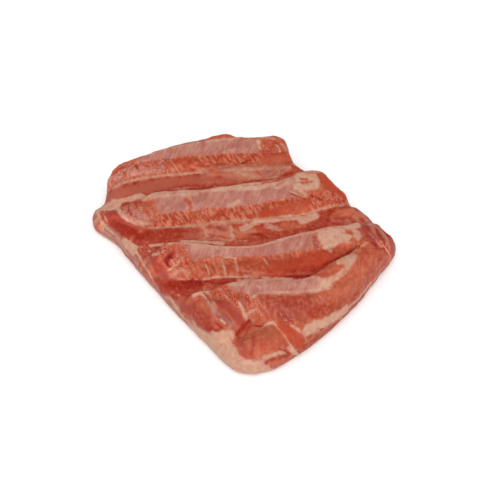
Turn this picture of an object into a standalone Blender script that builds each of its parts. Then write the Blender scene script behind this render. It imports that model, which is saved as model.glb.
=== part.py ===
"""Boneless pork belly ribs: one raw slab of belly, ribbed side up.

The ribs have been pulled out. What stood between them is left as long ridges of
muscle, each with a flat top of shiny skin and a steep cut wall on its front, and
the beds of the bones are the troughs between the ridges.

The frame: +X runs along the ridges, +Y from the slab's front to its back, +Z is
up, the slab lies on Z = 0, and the origin is the middle of its underside. The
sizes below are in millimetres.
"""

import math

import bmesh
import bpy
import numpy as np

MM = 0.001                # Blender's metres for one millimetre

# Driving dimensions, in millimetres
RIM_HEIGHT = 6.0          # where the slab is widest, above the table
BED_HEIGHT = 13.0         # floor of a rib bed, above the table
RIDGE_HEIGHT = 27.5       # top of the tallest ridges, above the table
SHELF_RISE = 9.0          # how far the solid right end stands above the rib beds
SHELF_START = (44, 7)     # where that end begins, along X and, going forwards, along Y
SHELF_SLOPE = 14.0        # length of the slope up to it
WALL_WIDTH = 3.2          # a ridge's steep cut wall, seen from above
LEE_WIDTH = 8.0           # its sloping far side, seen from above
WALL_SCOOP = 0.8          # how far the round bone hollowed a cut wall
TOP_TILT = 0.24           # share of a ridge's rise that its top gains from front to back
UNDULATION = 0.7          # height of the soft waves over the whole top
RIM_ROUND = 5.0           # width of the rounding along the rim where the slab is low
TALL_RIM_ROUND = 5.5      # and where a tall ridge ends there
FOOT_SCALE = 0.955        # the flat underside against the widest outline
TUCK_SCALE = 0.988        # halfway down from the rim to the underside
TUCK_HEIGHT = 2.4

# Mesh density
COLUMNS = 54              # faces along the ridges
EDGE_CROWDING = 0.5       # how much closer the columns lie at the two ends than in the middle
FINE_STEPS = 40           # steps that each stretch of a cross section is measured with
CURVE_STEPS = 24          # steps between two points of the outline
SHARP_EDGE = math.radians(70)

# The widest outline, anticlockwise from the front corner. CORNERS are the four
# of its points where one side of the grid ends and the next begins.
OUTLINE = [
    (-13, -81), (4, -78), (29, -64), (51, -47), (67, -31), (81, -14), (75.5, -4), (72, 6), (65.5, 17),
    (57, 30), (46, 48), (38, 58), (36, 66), (31, 72), (18, 73), (9, 75), (2, 79), (-10, 78),
    (-23, 76), (-40, 73), (-57, 69), (-69.5, 62), (-73, 55.5), (-75.5, 49), (-81, 43.5), (-82.5, 36.5),
    (-71.5, 20), (-59.5, -7), (-47.5, -32), (-33.5, -58), (-24, -75),
]
CORNERS = (0, 3, 13, 21)

# Each ridge: the height of its top, the front and the back edge of its top as a
# few (x, y), the widths of the cut wall and of the far side, and where it begins
# and ends along X with the length of each sloping end.
RIDGES = {
    "first": dict(
        top=RIDGE_HEIGHT + 0.5,
        brink=[(-88, 52), (-70, 59), (-53, 64), (-30, 63), (-11, 62), (5, 60), (19, 58), (42, 56)],
        far_brink=[(-88, 56), (-70, 61), (-57, 67), (-40, 72), (-23, 75), (-10, 77), (2, 77), (10, 74),
                   (18, 72), (42, 71)],
        wall=WALL_WIDTH - 1, lee=LEE_WIDTH, start=-92, end=70, start_fade=12, end_fade=12),
    "second": dict(
        top=RIDGE_HEIGHT,
        brink=[(-90, 36), (-72, 31), (-60, 27), (-48, 22.5), (-30, 20.5), (-9, 19.7), (10, 18.7), (23, 19.5),
               (35, 19.5), (46, 22), (58, 24), (68, 25)],
        far_brink=[(-92, 38), (-74, 34.5), (-57, 33.5), (-44, 34), (-34, 33), (-20, 31.5), (-8, 32),
                   (4, 31.5), (14, 31), (25, 32.5), (37, 35.5), (46, 36), (56, 34), (70, 30)],
        wall=WALL_WIDTH + 0.5, lee=LEE_WIDTH - 1, start=-84, end=80, start_fade=40, end_fade=14),
    "third": dict(
        top=RIDGE_HEIGHT - 1,
        brink=[(-66, -6), (-52, -9), (-43, -12.5), (-32, -16), (-20, -16.5), (-10, -17.5), (0, -19),
               (14, -20), (29, -19.5), (43, -18), (54, -11.5), (62, -8), (86, -6)],
        far_brink=[(-66, -2), (-51, -4), (-40, -4), (-32, -6), (-17, -11), (-2, -13.5), (8, -13.5),
                   (20, -11), (35, -9), (50, -7.5), (62, -5), (86, -2)],
        wall=WALL_WIDTH + 2, lee=LEE_WIDTH - 2, start=-62, end=78, start_fade=18, end_fade=36),
    "fourth": dict(
        top=RIDGE_HEIGHT - 4,
        brink=[(-52, -42), (-30, -43), (-10, -43), (-3, -43.5), (6, -46), (15, -48), (34, -46), (50, -40),
               (74, -26)],
        far_brink=[(-52, -39), (-34, -39), (-25, -37), (-16, -35), (2, -36), (14, -38.5), (24, -39),
                   (34, -36), (40, -33), (46, -29.5), (54, -24.5), (62, -21), (84, -17)],
        wall=LEE_WIDTH * 3, lee=LEE_WIDTH - 4, start=-54, end=90, start_fade=24, end_fade=40),
}

# Faces across each stretch of a cross section, from the front rim to the back
# rim. Between the two, the stretches meet along the lines that the ridges give.
ROWS = (16, 3, 3, 4, 5, 3, 4, 8, 5, 5, 5, 7, 5, 8)

# Lens-shaped swellings: centre, half length, half width, turn in degrees, rise.
SWELLINGS = {
    "oval muscle at the left corner": (-69, 25, 16, 8, -58, 2.0),
    "torn end of the third ridge": (-50, -11, 10, 6, -50, 2.0),
    "muscle on the left flank": (-33, -48, 24, 12, -60, 3.5),
    "torn end of the fourth ridge": (-18, -45, 9, 7, -20, 2.0),
    "round muscle at the front corner": (-6, -70, 15, 11, 8, 6.0),
    "wedge of muscle beside it": (13, -64, 14, 6, -58, 2.5),
    "fold of fat over the third bed": (42, -36, 20, 7, 24, 3.5),
    "lobe at the right corner": (72, -4, 13, 6, -58, 3.0),
    "lump in the second bed": (6, 1, 12, 6, 4, 1.8),
    "lump in the first bed": (14, 44, 14, 6, 4, 1.5),
}

# Creases: points, depth, half width.
CREASES = {
    "slit above the round muscle": ([(-20, -67), (-16, -60), (-8, -58), (2, -58)], 4.0, 2.6),
    "seam right of the round muscle": ([(2, -58), (6, -68), (11, -82)], 1.4, 2.2),
    "seam down the left flank": ([(-31, -35), (-22, -46), (-17, -58)], 1.6, 3.0),
    "seam before the right lobe": ([(56, 12), (65, 0), (75, -13)], 1.6, 2.2),
}


def eased(share):
    """0 below 0, 1 above 1 and a smooth step between."""
    share = np.clip(share, 0, 1)
    return share * share * (3 - 2 * share)


def rounded(share):
    """A quarter circle: 0 at 0, upright there, and level at 1."""
    return np.sqrt(1 - (1 - np.clip(share, 0, 1)) ** 2)


def along(points, x):
    """The smooth line through a few points, as y at each x."""
    px, py = np.array(points, float).T
    slope = np.gradient(py, px)
    left = np.clip(np.searchsorted(px, x) - 1, 0, len(px) - 2)
    gap = px[left + 1] - px[left]
    t = np.clip((x - px[left]) / gap, 0, 1)
    return (py[left] * (1 + 2 * t) * (1 - t) ** 2 + gap * slope[left] * t * (1 - t) ** 2
            + py[left + 1] * t * t * (3 - 2 * t) + gap * slope[left + 1] * t * t * (t - 1))


def closed_curve(points, steps):
    """A smooth closed curve through the points, with so many steps between each two."""
    given = np.array(points, float)
    t = (np.arange(steps) / steps)[:, None]
    stretches = []
    for i in range(len(given)):
        before, here, after, beyond = (given[(i + k) % len(given)] for k in (-1, 0, 1, 2))
        stretches.append(0.5 * (2 * here + (after - before) * t
                                + (2 * before - 5 * here + 4 * after - beyond) * t ** 2
                                + (3 * here - before - 3 * after + beyond) * t ** 3))
    return np.concatenate(stretches)


def spaced(line, shares):
    """Points at these shares of a line's own length."""
    steps = np.linalg.norm(np.diff(line, axis=0), axis=1)
    length = np.concatenate([[0], np.cumsum(steps)])
    return np.stack([np.interp(shares, length / length[-1], values) for values in line.T], axis=1)


def distance_to(line, x, y):
    """Distance from each point to a line of points, and how far along the line that is, from 0 to 1."""
    start = np.array(line, float)
    nearest = np.full(x.shape, np.inf)
    share = np.zeros(x.shape)
    for k in range(len(start) - 1):
        way = start[k + 1] - start[k]
        t = np.clip(((x - start[k, 0]) * way[0] + (y - start[k, 1]) * way[1]) / (way @ way), 0, 1)
        gap = np.hypot(x - start[k, 0] - t * way[0], y - start[k, 1] - t * way[1])
        share = np.where(gap < nearest, (k + t) / (len(start) - 1), share)
        nearest = np.minimum(nearest, gap)
    return nearest, share


def ridge_rise(x, y, ridge):
    """How much of a ridge's rise there is at each point, and how far its wall is hollowed out there."""
    brink, far_brink = along(ridge["brink"], x), along(ridge["far_brink"], x)
    wall = eased((y - brink) / ridge["wall"] + 1)
    lee = eased((far_brink - y) / ridge["lee"] + 1)
    across = np.clip((y - brink) / np.maximum(far_brink - brink, 3), 0, 1)
    top = 1 - TOP_TILT * (1 - across) ** 1.5
    ends = (eased((x - ridge["start"]) / ridge["start_fade"])
            * eased((ridge["end"] - x) / ridge["end_fade"]))
    hollow = 4 * WALL_SCOOP * ends * wall * (1 - wall)
    return wall * lee * top * ends, hollow


def swelling(x, y, centre_x, centre_y, long, wide, turn):
    c, s = math.cos(math.radians(turn)), math.sin(math.radians(turn))
    dx, dy = x - centre_x, y - centre_y
    reach = ((dx * c + dy * s) / long) ** 2 + ((dy * c - dx * s) / wide) ** 2
    return np.clip(1 - reach, 0, 1) ** 1.5


def waves(x, y):
    """Soft uneven waves, 30 to 40 mm long, between -1 and 1."""
    return (np.sin(x / 6.1 + 1.7 * np.sin(y / 9.3)) + np.sin(y / 4.7 + 1.3 * np.sin(x / 11.9) + 1)
            + np.sin((x + y) / 7.7 + 2)) / 3


def top_of_slab(x, y, outline):
    """Where each point of the plan lies on the slab's top: x, y and height."""
    start_x, start_y = SHELF_START
    shelf = eased((x - start_x) / SHELF_SLOPE) * eased((start_y - y) / SHELF_SLOPE)
    bed = BED_HEIGHT + SHELF_RISE * shelf
    rise, hollow = 0, 0
    for ridge in RIDGES.values():
        share, scooped = ridge_rise(x, y, ridge)
        rise = np.maximum(rise, (ridge["top"] - bed) * share)
        hollow = hollow + scooped
    height = bed + rise + UNDULATION * waves(x, y)
    for centre_x, centre_y, long, wide, turn, up in SWELLINGS.values():
        height = height + up * swelling(x, y, centre_x, centre_y, long, wide, turn)
    for points, depth, half_width in CREASES.values():
        gap, share = distance_to(points, x, y)
        fade = np.clip(5 * np.minimum(share, 1 - share), 0, 1)
        height = height - depth * fade * np.exp(-(gap / half_width) ** 2)
    edge, _ = distance_to(outline, x, y)
    tall = eased((height - BED_HEIGHT) / (RIDGE_HEIGHT - BED_HEIGHT))
    rim = rounded(edge / (RIM_ROUND + (TALL_RIM_ROUND - RIM_ROUND) * tall))
    height = RIM_HEIGHT + (height - RIM_HEIGHT) * rim
    return np.stack([x, y + hollow * rim, height], axis=-1)


def side_share(side, line):
    """How far along one side of the outline, from 0 to 1, it is crossed by a line across the slab."""
    past = side[:, 1] - along(line, side[:, 0])
    length = np.concatenate([[0], np.cumsum(np.linalg.norm(np.diff(side, axis=0), axis=1))])
    return np.interp(0, past, length / length[-1])


def lengthwise_lines():
    """The lines along which the rows of the grid run, from front to back, between the two rims."""
    lines = []
    for name in ("fourth", "third", "second", "first"):
        ridge = RIDGES[name]
        brink, far_brink = np.array(ridge["brink"], float), np.array(ridge["far_brink"], float)
        wall_foot, far_foot = brink - (0, ridge["wall"]), far_brink + (0, ridge["lee"])
        lines += {"fourth": [brink, far_brink, far_foot], "first": [wall_foot, brink]}.get(
            name, [wall_foot, brink, far_brink, far_foot])
    return lines


def top_grid(columns, rows):
    """Points of the top, by column and row, evenly spaced within each stretch of a cross section."""
    outline = closed_curve(OUTLINE, CURVE_STEPS)
    ring = np.concatenate([outline, outline[:1]])
    front_left, front_right, back_right, back_left = (corner * CURVE_STEPS for corner in CORNERS)
    right_side = ring[front_right:back_right + 1]
    left_side = ring[back_left:][::-1]
    s = np.linspace(0, 1, columns + 1)
    u = s - EDGE_CROWDING * np.sin(2 * math.pi * s) / (2 * math.pi)
    courses = [(spaced(ring[front_left:front_right + 1], u), 0, 0)]
    for line in lengthwise_lines():
        left, right = side_share(left_side, line), side_share(right_side, line)
        x_left, x_right = spaced(left_side, [left])[0, 0], spaced(right_side, [right])[0, 0]
        x = x_left + (x_right - x_left) * u
        courses.append((np.stack([x, along(line, x)], axis=1), left, right))
    courses.append((spaced(ring[back_right:back_left + 1][::-1], u), 1, 1))

    w = np.linspace(0, 1, FINE_STEPS + 1)
    u, w = u[:, None, None], w[None, :, None]
    grid = []
    for (near, left, right), (far, next_left, next_right), count in zip(courses, courses[1:], rows):
        plan = near[:, None] * (1 - w) + far[:, None] * w
        left_rim = spaced(left_side, left + (next_left - left) * w[0, :, 0])
        right_rim = spaced(right_side, right + (next_right - right) * w[0, :, 0])
        plan = plan + (1 - u) * (left_rim - plan[0]) + u * (right_rim - plan[-1])
        stretch = top_of_slab(plan[..., 0], plan[..., 1], ring)
        even = [spaced(section, np.linspace(0, 1, count + 1)) for section in stretch]
        grid.append(np.stack(even)[:, bool(grid):])
    return np.concatenate(grid, axis=1)


def rim_edges(bm):
    return [edge for edge in bm.edges if edge.is_boundary]


def lower_rim(bm, scale, height):
    """Extrudes the open rim inwards and down to this height."""
    grown = bmesh.ops.extrude_edge_only(bm, edges=rim_edges(bm))["geom"]
    for vert in (item for item in grown if isinstance(item, bmesh.types.BMVert)):
        vert.co.x *= scale
        vert.co.y *= scale
        vert.co.z = height * MM


def slab_mesh():
    """A grid bent to the top of the slab, its rim rolled under and its flat underside closed."""
    points = top_grid(COLUMNS, ROWS) * MM
    points[..., :2] -= (points.min(axis=(0, 1)) + points.max(axis=(0, 1)))[:2] / 2
    row_count = sum(ROWS)
    bm = bmesh.new()
    bmesh.ops.create_grid(bm, x_segments=COLUMNS, y_segments=row_count, size=1)
    for vert in bm.verts:
        column = round((vert.co.x + 1) / 2 * COLUMNS)
        row = round((vert.co.y + 1) / 2 * row_count)
        vert.co = points[column, row]
    lower_rim(bm, TUCK_SCALE, TUCK_HEIGHT)
    lower_rim(bm, FOOT_SCALE / TUCK_SCALE, 0)
    underside = bmesh.ops.contextual_create(bm, geom=rim_edges(bm))["faces"]
    bmesh.ops.triangulate(bm, faces=underside)
    bmesh.ops.recalc_face_normals(bm, faces=bm.faces)
    mesh = bpy.data.meshes.new("pork_belly_slab")
    bm.to_mesh(mesh)
    bm.free()
    mesh.shade_smooth()
    mesh.set_sharp_from_angle(angle=SHARP_EDGE)
    return mesh


def raw_pork():
    material = bpy.data.materials.new("raw_pork")
    material.use_nodes = True
    shader = material.node_tree.nodes["Principled BSDF"]
    shader.inputs["Base Color"].default_value = (0.52, 0.13, 0.085, 1)
    shader.inputs["Roughness"].default_value = 0.45
    shader.inputs["Metallic"].default_value = 0
    return material


def main():
    for thing in list(bpy.data.objects):
        bpy.data.objects.remove(thing)
    slab = bpy.data.objects.new("pork_belly_slab", slab_mesh())
    slab.data.materials.append(raw_pork())
    bpy.context.scene.collection.objects.link(slab)


main()
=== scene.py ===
# Boneless pork belly ribs: one raw slab of belly, ribbed side up, on a pale table.
# The work runs as a butcher and a modeller would take it: the trimmed slab with its
# ridges and rib beds, the lean, skin and fat laid on it, its grain and tears, and then
# the table, the lamps and the camera. The slab is in millimetres, the rest in metres.

import math

import bpy
import numpy as np
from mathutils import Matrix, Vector


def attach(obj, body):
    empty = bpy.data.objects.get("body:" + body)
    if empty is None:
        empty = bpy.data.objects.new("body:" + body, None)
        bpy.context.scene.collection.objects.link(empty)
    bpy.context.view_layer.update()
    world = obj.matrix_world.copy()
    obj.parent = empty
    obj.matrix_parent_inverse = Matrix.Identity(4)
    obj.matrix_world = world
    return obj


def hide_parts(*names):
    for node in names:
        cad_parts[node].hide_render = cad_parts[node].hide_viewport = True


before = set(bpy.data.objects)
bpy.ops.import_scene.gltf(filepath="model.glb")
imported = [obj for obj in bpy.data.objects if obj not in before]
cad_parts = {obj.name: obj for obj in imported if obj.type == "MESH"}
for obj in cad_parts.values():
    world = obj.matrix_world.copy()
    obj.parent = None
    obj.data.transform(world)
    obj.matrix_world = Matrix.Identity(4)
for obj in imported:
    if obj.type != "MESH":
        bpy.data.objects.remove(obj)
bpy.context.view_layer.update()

# ---------------------------------------------------------------------------
# The slab of belly. One piece of raw pork, 164 by 160 mm, lying on its fat side.
# The ribs have been pulled out of the side that faces up, which leaves four long
# ridges of muscle, each cut steeply on its front, and the beds of the bones between.

MM = 0.001
PLAN_MIDDLE = (-0.926, -1.009)   # the middle of the outline, which comes to lie on the origin

RIM_HEIGHT = 6.0                 # where the rounding of the top begins
BED_HEIGHT = 13.0                # the beds of the bones
RIDGE_HEIGHT = 27.5              # the tops of the ridges
SHELF_RISE = 9.0                 # how far the solid right end stands above the beds,
SHELF_START = (51, 4)            # where it begins: to the right of this, and in front of that,
SHELF_SLOPE = 12.0               # and the length of the slope up to it
WALL_WIDTH = 3.2                 # a ridge's cut wall, seen from above
LEE_WIDTH = 8.0                  # the slope on its far side
WALL_SCOOP = 0.8                 # how far the wall is hollowed out
TOP_TILT = 0.24                  # how much of its rise a ridge lacks at its front edge
UNDULATION = 0.7                 # the soft waves all over the top
RIM_ROUND = 5.0                  # the rounding of the rim, at the beds
TALL_RIM_ROUND = 5.5             # and at the ridges
FOOT_SCALE = 0.955               # how far the underside is drawn in

OUTLINE = [
    (-12.7, -80.4), (4, -77.5), (28.6, -63.6), (50.4, -46.4), (66.3, -30.6), (81, -14),
    (75.2, -4), (73.2, 6.6), (67.6, 17.8), (57.6, 30.4), (47.2, 49), (41, 58.5), (37.6, 66),
    (30, 72.4), (18, 73), (9, 75), (2, 79), (-10, 78), (-23, 76), (-40, 73), (-57, 69),
    (-69, 62.5), (-73, 56), (-75.6, 48.4), (-81.4, 43.5), (-82.5, 36.5), (-76, 28),
    (-70.6, 20), (-58.6, -6.8), (-46.6, -31.6), (-32.7, -57.5), (-23.4, -74.3),
]
CORNERS = (0, 3, 13, 21)         # of the outline: front left, front right, back right, back left

# Each ridge of muscle: its height, the front and back edge of its top, the widths of
# its cut wall and its far side, and where it begins and ends.
RIDGES = {
    "first": dict(
        top=RIDGE_HEIGHT + 0.5,
        brink=[(-88, 52), (-70, 59), (-53, 64), (-30, 63), (-11, 62), (5, 60), (19, 58), (42, 56)],
        far_brink=[(-88, 56), (-70, 61), (-57, 67), (-40, 72), (-23, 75), (-10, 77), (2, 77),
                   (10, 74), (18, 72), (42, 71)],
        wall=WALL_WIDTH - 1, lee=LEE_WIDTH, start=-92, end=38.5, start_fade=12, end_fade=5),
    "second": dict(
        top=RIDGE_HEIGHT,
        brink=[(-90, 36), (-72, 31), (-60, 27), (-48, 22.5), (-30, 20.5), (-9, 19.7), (10, 18.7),
               (23, 19.5), (35, 19.5), (46, 22), (58, 24), (68, 25)],
        far_brink=[(-92, 38), (-74, 34.5), (-57, 33.5), (-44, 34), (-34, 33), (-20, 31.5),
                   (-8, 32), (4, 31.5), (14, 31), (25, 32.5), (37, 35.5), (46, 36), (56, 34),
                   (70, 30)],
        wall=WALL_WIDTH + 0.5, lee=LEE_WIDTH - 1, start=-84, end=80, start_fade=40, end_fade=14),
    "third": dict(
        top=RIDGE_HEIGHT - 1,
        brink=[(-66, -6), (-52, -9), (-43, -12.5), (-32, -16), (-20, -16.5), (-10, -17.5),
               (0, -19), (14, -20), (29, -19.5), (43, -18.5), (50, -18.3), (58, -19), (66, -20),
               (86, -20)],
        far_brink=[(-66, -2), (-51, -4), (-40, -4), (-32, -6), (-17, -11), (-2, -13.5),
                   (8, -13.5), (20, -11), (35, -9), (50, -7.5), (62, -5), (86, -2)],
        wall=WALL_WIDTH + 2, lee=LEE_WIDTH - 2, start=-62, end=78, start_fade=18, end_fade=36),
    "fourth": dict(
        top=RIDGE_HEIGHT - 4,
        brink=[(-52, -42), (-30, -43), (-10, -43), (-3, -43.5), (6, -46), (15, -48), (34, -46),
               (50, -40), (74, -26)],
        far_brink=[(-52, -39), (-34, -39), (-25, -37), (-16, -35), (2, -36), (14, -38.5),
                   (24, -39), (34, -36), (40, -33), (46, -29.5), (54, -24.5), (62, -21),
                   (84, -17)],
        wall=LEE_WIDTH * 3, lee=LEE_WIDTH - 4, start=-54, end=90, start_fade=24, end_fade=40),
}

# Muscles and folds that swell out of the slab, and places that sink: centre, half
# length, half width, turn in degrees, rise.
SWELLINGS = {
    "oval muscle at the left corner": (-69, 25, 16, 8, -58, 2.0),
    "torn end of the third ridge": (-50, -11, 10, 6, -50, 2.0),
    "muscle on the left flank": (-33, -48, 24, 12, -60, 3.5),
    "torn end of the fourth ridge": (-18, -45, 9, 7, -20, 2.0),
    "round muscle at the front corner": (-6, -70, 15, 11, 8, 6.0),
    "wedge of muscle beside it": (13, -64, 14, 6, -58, 2.5),
    "fold of fat over the third bed": (42, -36, 20, 7, 24, 3.5),
    "low tip of the right corner": (82, -12, 12, 12, -60, -6),
    "lump in the second bed": (6, 1, 12, 6, 4, 1.8),
    "lump in the first bed": (14, 44, 14, 6, 4, 1.5),
    "low right end of the second ridge": (55, 31, 19, 14, -40, -3.2),
}

# Creases between muscles: points, depth, half width.
CREASES = {
    "slit above the round muscle": ([(-17, -64.5), (-13.5, -60), (-10, -57), (0, -58)], 2.8, 1.9),
    "seam right of the round muscle": ([(2, -58), (6, -68), (11, -82)], 1.4, 2.2),
    "seam down the left flank": ([(-31, -35), (-22, -46), (-17, -58)], 1.6, 3.0),
    "seam before the right lobe": ([(56, 12), (65, 0), (75, -13)], 1.6, 2.2),
}

# The grid of the top: columns from left to right, and rows that follow the ridges.
COLUMNS = 290
RIM_COLUMNS = 18                 # of them, how many stand on the rounding at each end
RIM_SHARE = 0.034                # how much of a course that rounding takes
LINES = ("fourth brink", "fourth back", "fourth lee foot",
         "third foot", "third brink", "third back", "third lee foot",
         "second foot", "second brink", "second back", "second lee foot",
         "first foot", "first brink")
ROWS = (54, 12, 10, 14, 24, 12, 14, 24, 24, 22, 16, 22, 22, 30)  # before, between and behind them
FINE_STEPS = 90                  # across each stretch of rows, before they are spaced evenly
CURVE_STEPS = 24                 # between two points of the outline


def eased(share):
    """0 below 0, 1 above 1 and a smooth step between."""
    share = np.clip(share, 0, 1)
    return share * share * (3 - 2 * share)


def rounded(share):
    """A quarter circle: 0 at 0, upright there, and level at 1."""
    return np.sqrt(1 - (1 - np.clip(share, 0, 1)) ** 2)


def along(points, x):
    """The smooth line through a few points, as y at each x."""
    px, py = np.array(points, float).T
    slope = np.gradient(py, px)
    left = np.clip(np.searchsorted(px, x) - 1, 0, len(px) - 2)
    gap = px[left + 1] - px[left]
    t = np.clip((x - px[left]) / gap, 0, 1)
    return (py[left] * (1 + 2 * t) * (1 - t) ** 2 + gap * slope[left] * t * (1 - t) ** 2
            + py[left + 1] * t * t * (3 - 2 * t) + gap * slope[left + 1] * t * t * (t - 1))


def closed_curve(points, steps):
    """A smooth closed curve through the points, with so many steps between each two."""
    given = np.array(points, float)
    t = (np.arange(steps) / steps)[:, None]
    stretches = []
    for i in range(len(given)):
        before, here, after, beyond = (given[(i + k) % len(given)] for k in (-1, 0, 1, 2))
        stretches.append(0.5 * (2 * here + (after - before) * t
                                + (2 * before - 5 * here + 4 * after - beyond) * t ** 2
                                + (3 * here - before - 3 * after + beyond) * t ** 3))
    return np.concatenate(stretches)


def spaced(line, shares):
    """Points at these shares of a line's own length."""
    steps = np.linalg.norm(np.diff(line, axis=0), axis=1)
    length = np.concatenate([[0], np.cumsum(steps)])
    return np.stack([np.interp(shares, length / length[-1], values) for values in line.T], axis=1)


def distance_to(line, points):
    """How far each point is from a line of points, and how far along it, from 0 to 1."""
    line = np.array(line, float)
    nearest = np.full(points.shape[:-1], np.inf)
    share = np.zeros(points.shape[:-1])
    for k in range(len(line) - 1):
        way = line[k + 1] - line[k]
        t = np.clip((points - line[k]) @ way / (way @ way), 0, 1)
        gap = np.linalg.norm(points - line[k] - t[..., None] * way, axis=-1)
        share = np.where(gap < nearest, (k + t) / (len(line) - 1), share)
        nearest = np.minimum(nearest, gap)
    return nearest, share


def ridge_rise(x, y, ridge):
    """How much of a ridge's rise each point has, and how far its wall is hollowed out there."""
    brink, far_brink = along(ridge["brink"], x), along(ridge["far_brink"], x)
    wall = eased((y - brink) / ridge["wall"] + 1)
    lee = eased((far_brink - y) / ridge["lee"] + 1)
    across = np.clip((y - brink) / np.maximum(far_brink - brink, 3), 0, 1)
    top = 1 - TOP_TILT * (1 - across) ** 1.5
    ends = (eased((x - ridge["start"]) / ridge["start_fade"])
            * eased((ridge["end"] - x) / ridge["end_fade"]))
    hollow = 4 * WALL_SCOOP * ends * wall * (1 - wall)
    return wall * lee * top * ends, hollow


def shelf_share(x, y):
    """How much of the raised right end's rise each point has."""
    start_x, start_y = SHELF_START
    return eased((x - start_x) / SHELF_SLOPE) * eased((start_y - y) / SHELF_SLOPE)


def swelling(x, y, centre_x, centre_y, long, wide, turn):
    """How much of a swelling's rise each point has: an oval dome, turned by so many degrees."""
    c, s = math.cos(math.radians(turn)), math.sin(math.radians(turn))
    dx, dy = x - centre_x, y - centre_y
    reach = ((dx * c + dy * s) / long) ** 2 + ((dy * c - dx * s) / wide) ** 2
    return np.clip(1 - reach, 0, 1) ** 1.5


def waves(x, y):
    """Soft uneven waves, 30 to 40 mm long, between -1 and 1."""
    return (np.sin(x / 6.1 + 1.7 * np.sin(y / 9.3)) + np.sin(y / 4.7 + 1.3 * np.sin(x / 11.9) + 1)
            + np.sin((x + y) / 7.7 + 2)) / 3


def rim_gap(plan, outline):
    """Distance from each point to the outline, exact near it and rough elsewhere."""
    gap, _ = distance_to(outline[::8], plan)
    near = gap < RIM_ROUND + 4
    gap[near], _ = distance_to(outline, plan[near])
    return gap


def top_of_slab(x, y, outline):
    """Where each point of the plan lies on the slab's top: x, y and height."""
    plan = np.stack([x, y], axis=-1)
    bed = BED_HEIGHT + SHELF_RISE * shelf_share(x, y)
    rise, hollow = 0, 0
    for ridge in RIDGES.values():
        share, scooped = ridge_rise(x, y, ridge)
        rise = np.maximum(rise, (ridge["top"] - bed) * share)
        hollow = hollow + scooped
    height = bed + rise + UNDULATION * waves(x, y)
    for centre_x, centre_y, long, wide, turn, up in SWELLINGS.values():
        height = height + up * swelling(x, y, centre_x, centre_y, long, wide, turn)
    for points, depth, half_width in CREASES.values():
        gap, share = distance_to(points, plan)
        fade = np.clip(5 * np.minimum(share, 1 - share), 0, 1)
        height = height - depth * fade * np.exp(-(gap / half_width) ** 2)
    tall = eased((height - BED_HEIGHT) / (RIDGE_HEIGHT - BED_HEIGHT))
    rim = rounded(rim_gap(plan, outline) / (RIM_ROUND + (TALL_RIM_ROUND - RIM_ROUND) * tall))
    height = RIM_HEIGHT + (height - RIM_HEIGHT) * rim
    return np.stack([x, y + hollow * rim, height], axis=-1)


def side_share(side, line):
    """How far along a side of the outline, from 0 to 1, a line across the slab meets it."""
    past = side[:, 1] - along(line, side[:, 0])
    length = np.concatenate([[0], np.cumsum(np.linalg.norm(np.diff(side, axis=0), axis=1))])
    return np.interp(0, past, length / length[-1])


def lengthwise_lines():
    """The lines named in LINES, from front to back, each as points of the plan."""
    lines = []
    for name in ("fourth", "third", "second", "first"):
        ridge = RIDGES[name]
        brink, far_brink = np.array(ridge["brink"], float), np.array(ridge["far_brink"], float)
        if name != "fourth":
            lines.append(brink - (0, ridge["wall"]))
        lines.append(brink)
        if name != "first":
            lines += [far_brink, far_brink + (0, ridge["lee"])]
    return lines


def column_shares():
    """Where the columns stand along a course: even, but as on a quarter circle at the rims."""
    turn = np.linspace(0, math.pi / 2, RIM_COLUMNS + 1)
    left = RIM_SHARE * (1 - np.cos(turn))
    middle = np.linspace(RIM_SHARE, 1 - RIM_SHARE, COLUMNS - 2 * RIM_COLUMNS + 1)
    return np.concatenate([left, middle[1:-1], 1 - left[::-1]])


def top_grid():
    """Points of the top, by column and row, evenly spaced within each stretch of rows."""
    outline = closed_curve(OUTLINE, CURVE_STEPS)
    ring = np.concatenate([outline, outline[:1]])
    front_left, front_right, back_right, back_left = (corner * CURVE_STEPS for corner in CORNERS)
    right_side = ring[front_right:back_right + 1]
    left_side = ring[back_left:][::-1]
    u = column_shares()
    courses = [(spaced(ring[front_left:front_right + 1], u), 0, 0)]
    for line in lengthwise_lines():
        left, right = side_share(left_side, line), side_share(right_side, line)
        x_left, x_right = spaced(left_side, [left])[0, 0], spaced(right_side, [right])[0, 0]
        x = x_left + (x_right - x_left) * u
        courses.append((np.stack([x, along(line, x)], axis=1), left, right))
    courses.append((spaced(ring[back_right:back_left + 1][::-1], u), 1, 1))

    w = np.linspace(0, 1, FINE_STEPS + 1)
    u, w = u[:, None, None], w[None, :, None]
    grid = []
    for course, next_course, count in zip(courses, courses[1:], ROWS):
        (near, left, right), (far, next_left, next_right) = course, next_course
        plan = near[:, None] * (1 - w) + far[:, None] * w
        left_rim = spaced(left_side, left + (next_left - left) * w[0, :, 0])
        right_rim = spaced(right_side, right + (next_right - right) * w[0, :, 0])
        plan = plan + (1 - u) * (left_rim - plan[0]) + u * (right_rim - plan[-1])
        stretch = top_of_slab(plan[..., 0], plan[..., 1], ring)
        even = [spaced(section, np.linspace(0, 1, count + 1)) for section in stretch]
        grid.append(np.stack(even)[:, bool(grid):])
    grid = np.concatenate(grid, axis=1)
    grid[..., :2] -= PLAN_MIDDLE
    return grid


# A sheet of squares is laid down and bent to the slab's top, point by point.
bpy.ops.object.select_all(action="DESELECT")
bpy.ops.mesh.primitive_grid_add(x_subdivisions=COLUMNS, y_subdivisions=sum(ROWS), size=2)
slab = bpy.context.object
slab.name = slab.data.name = "raw_pork_slab"
top = top_grid()
slab.data.vertices.foreach_set("co", (top.transpose(1, 0, 2) * MM).astype(np.float32).ravel())

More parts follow.
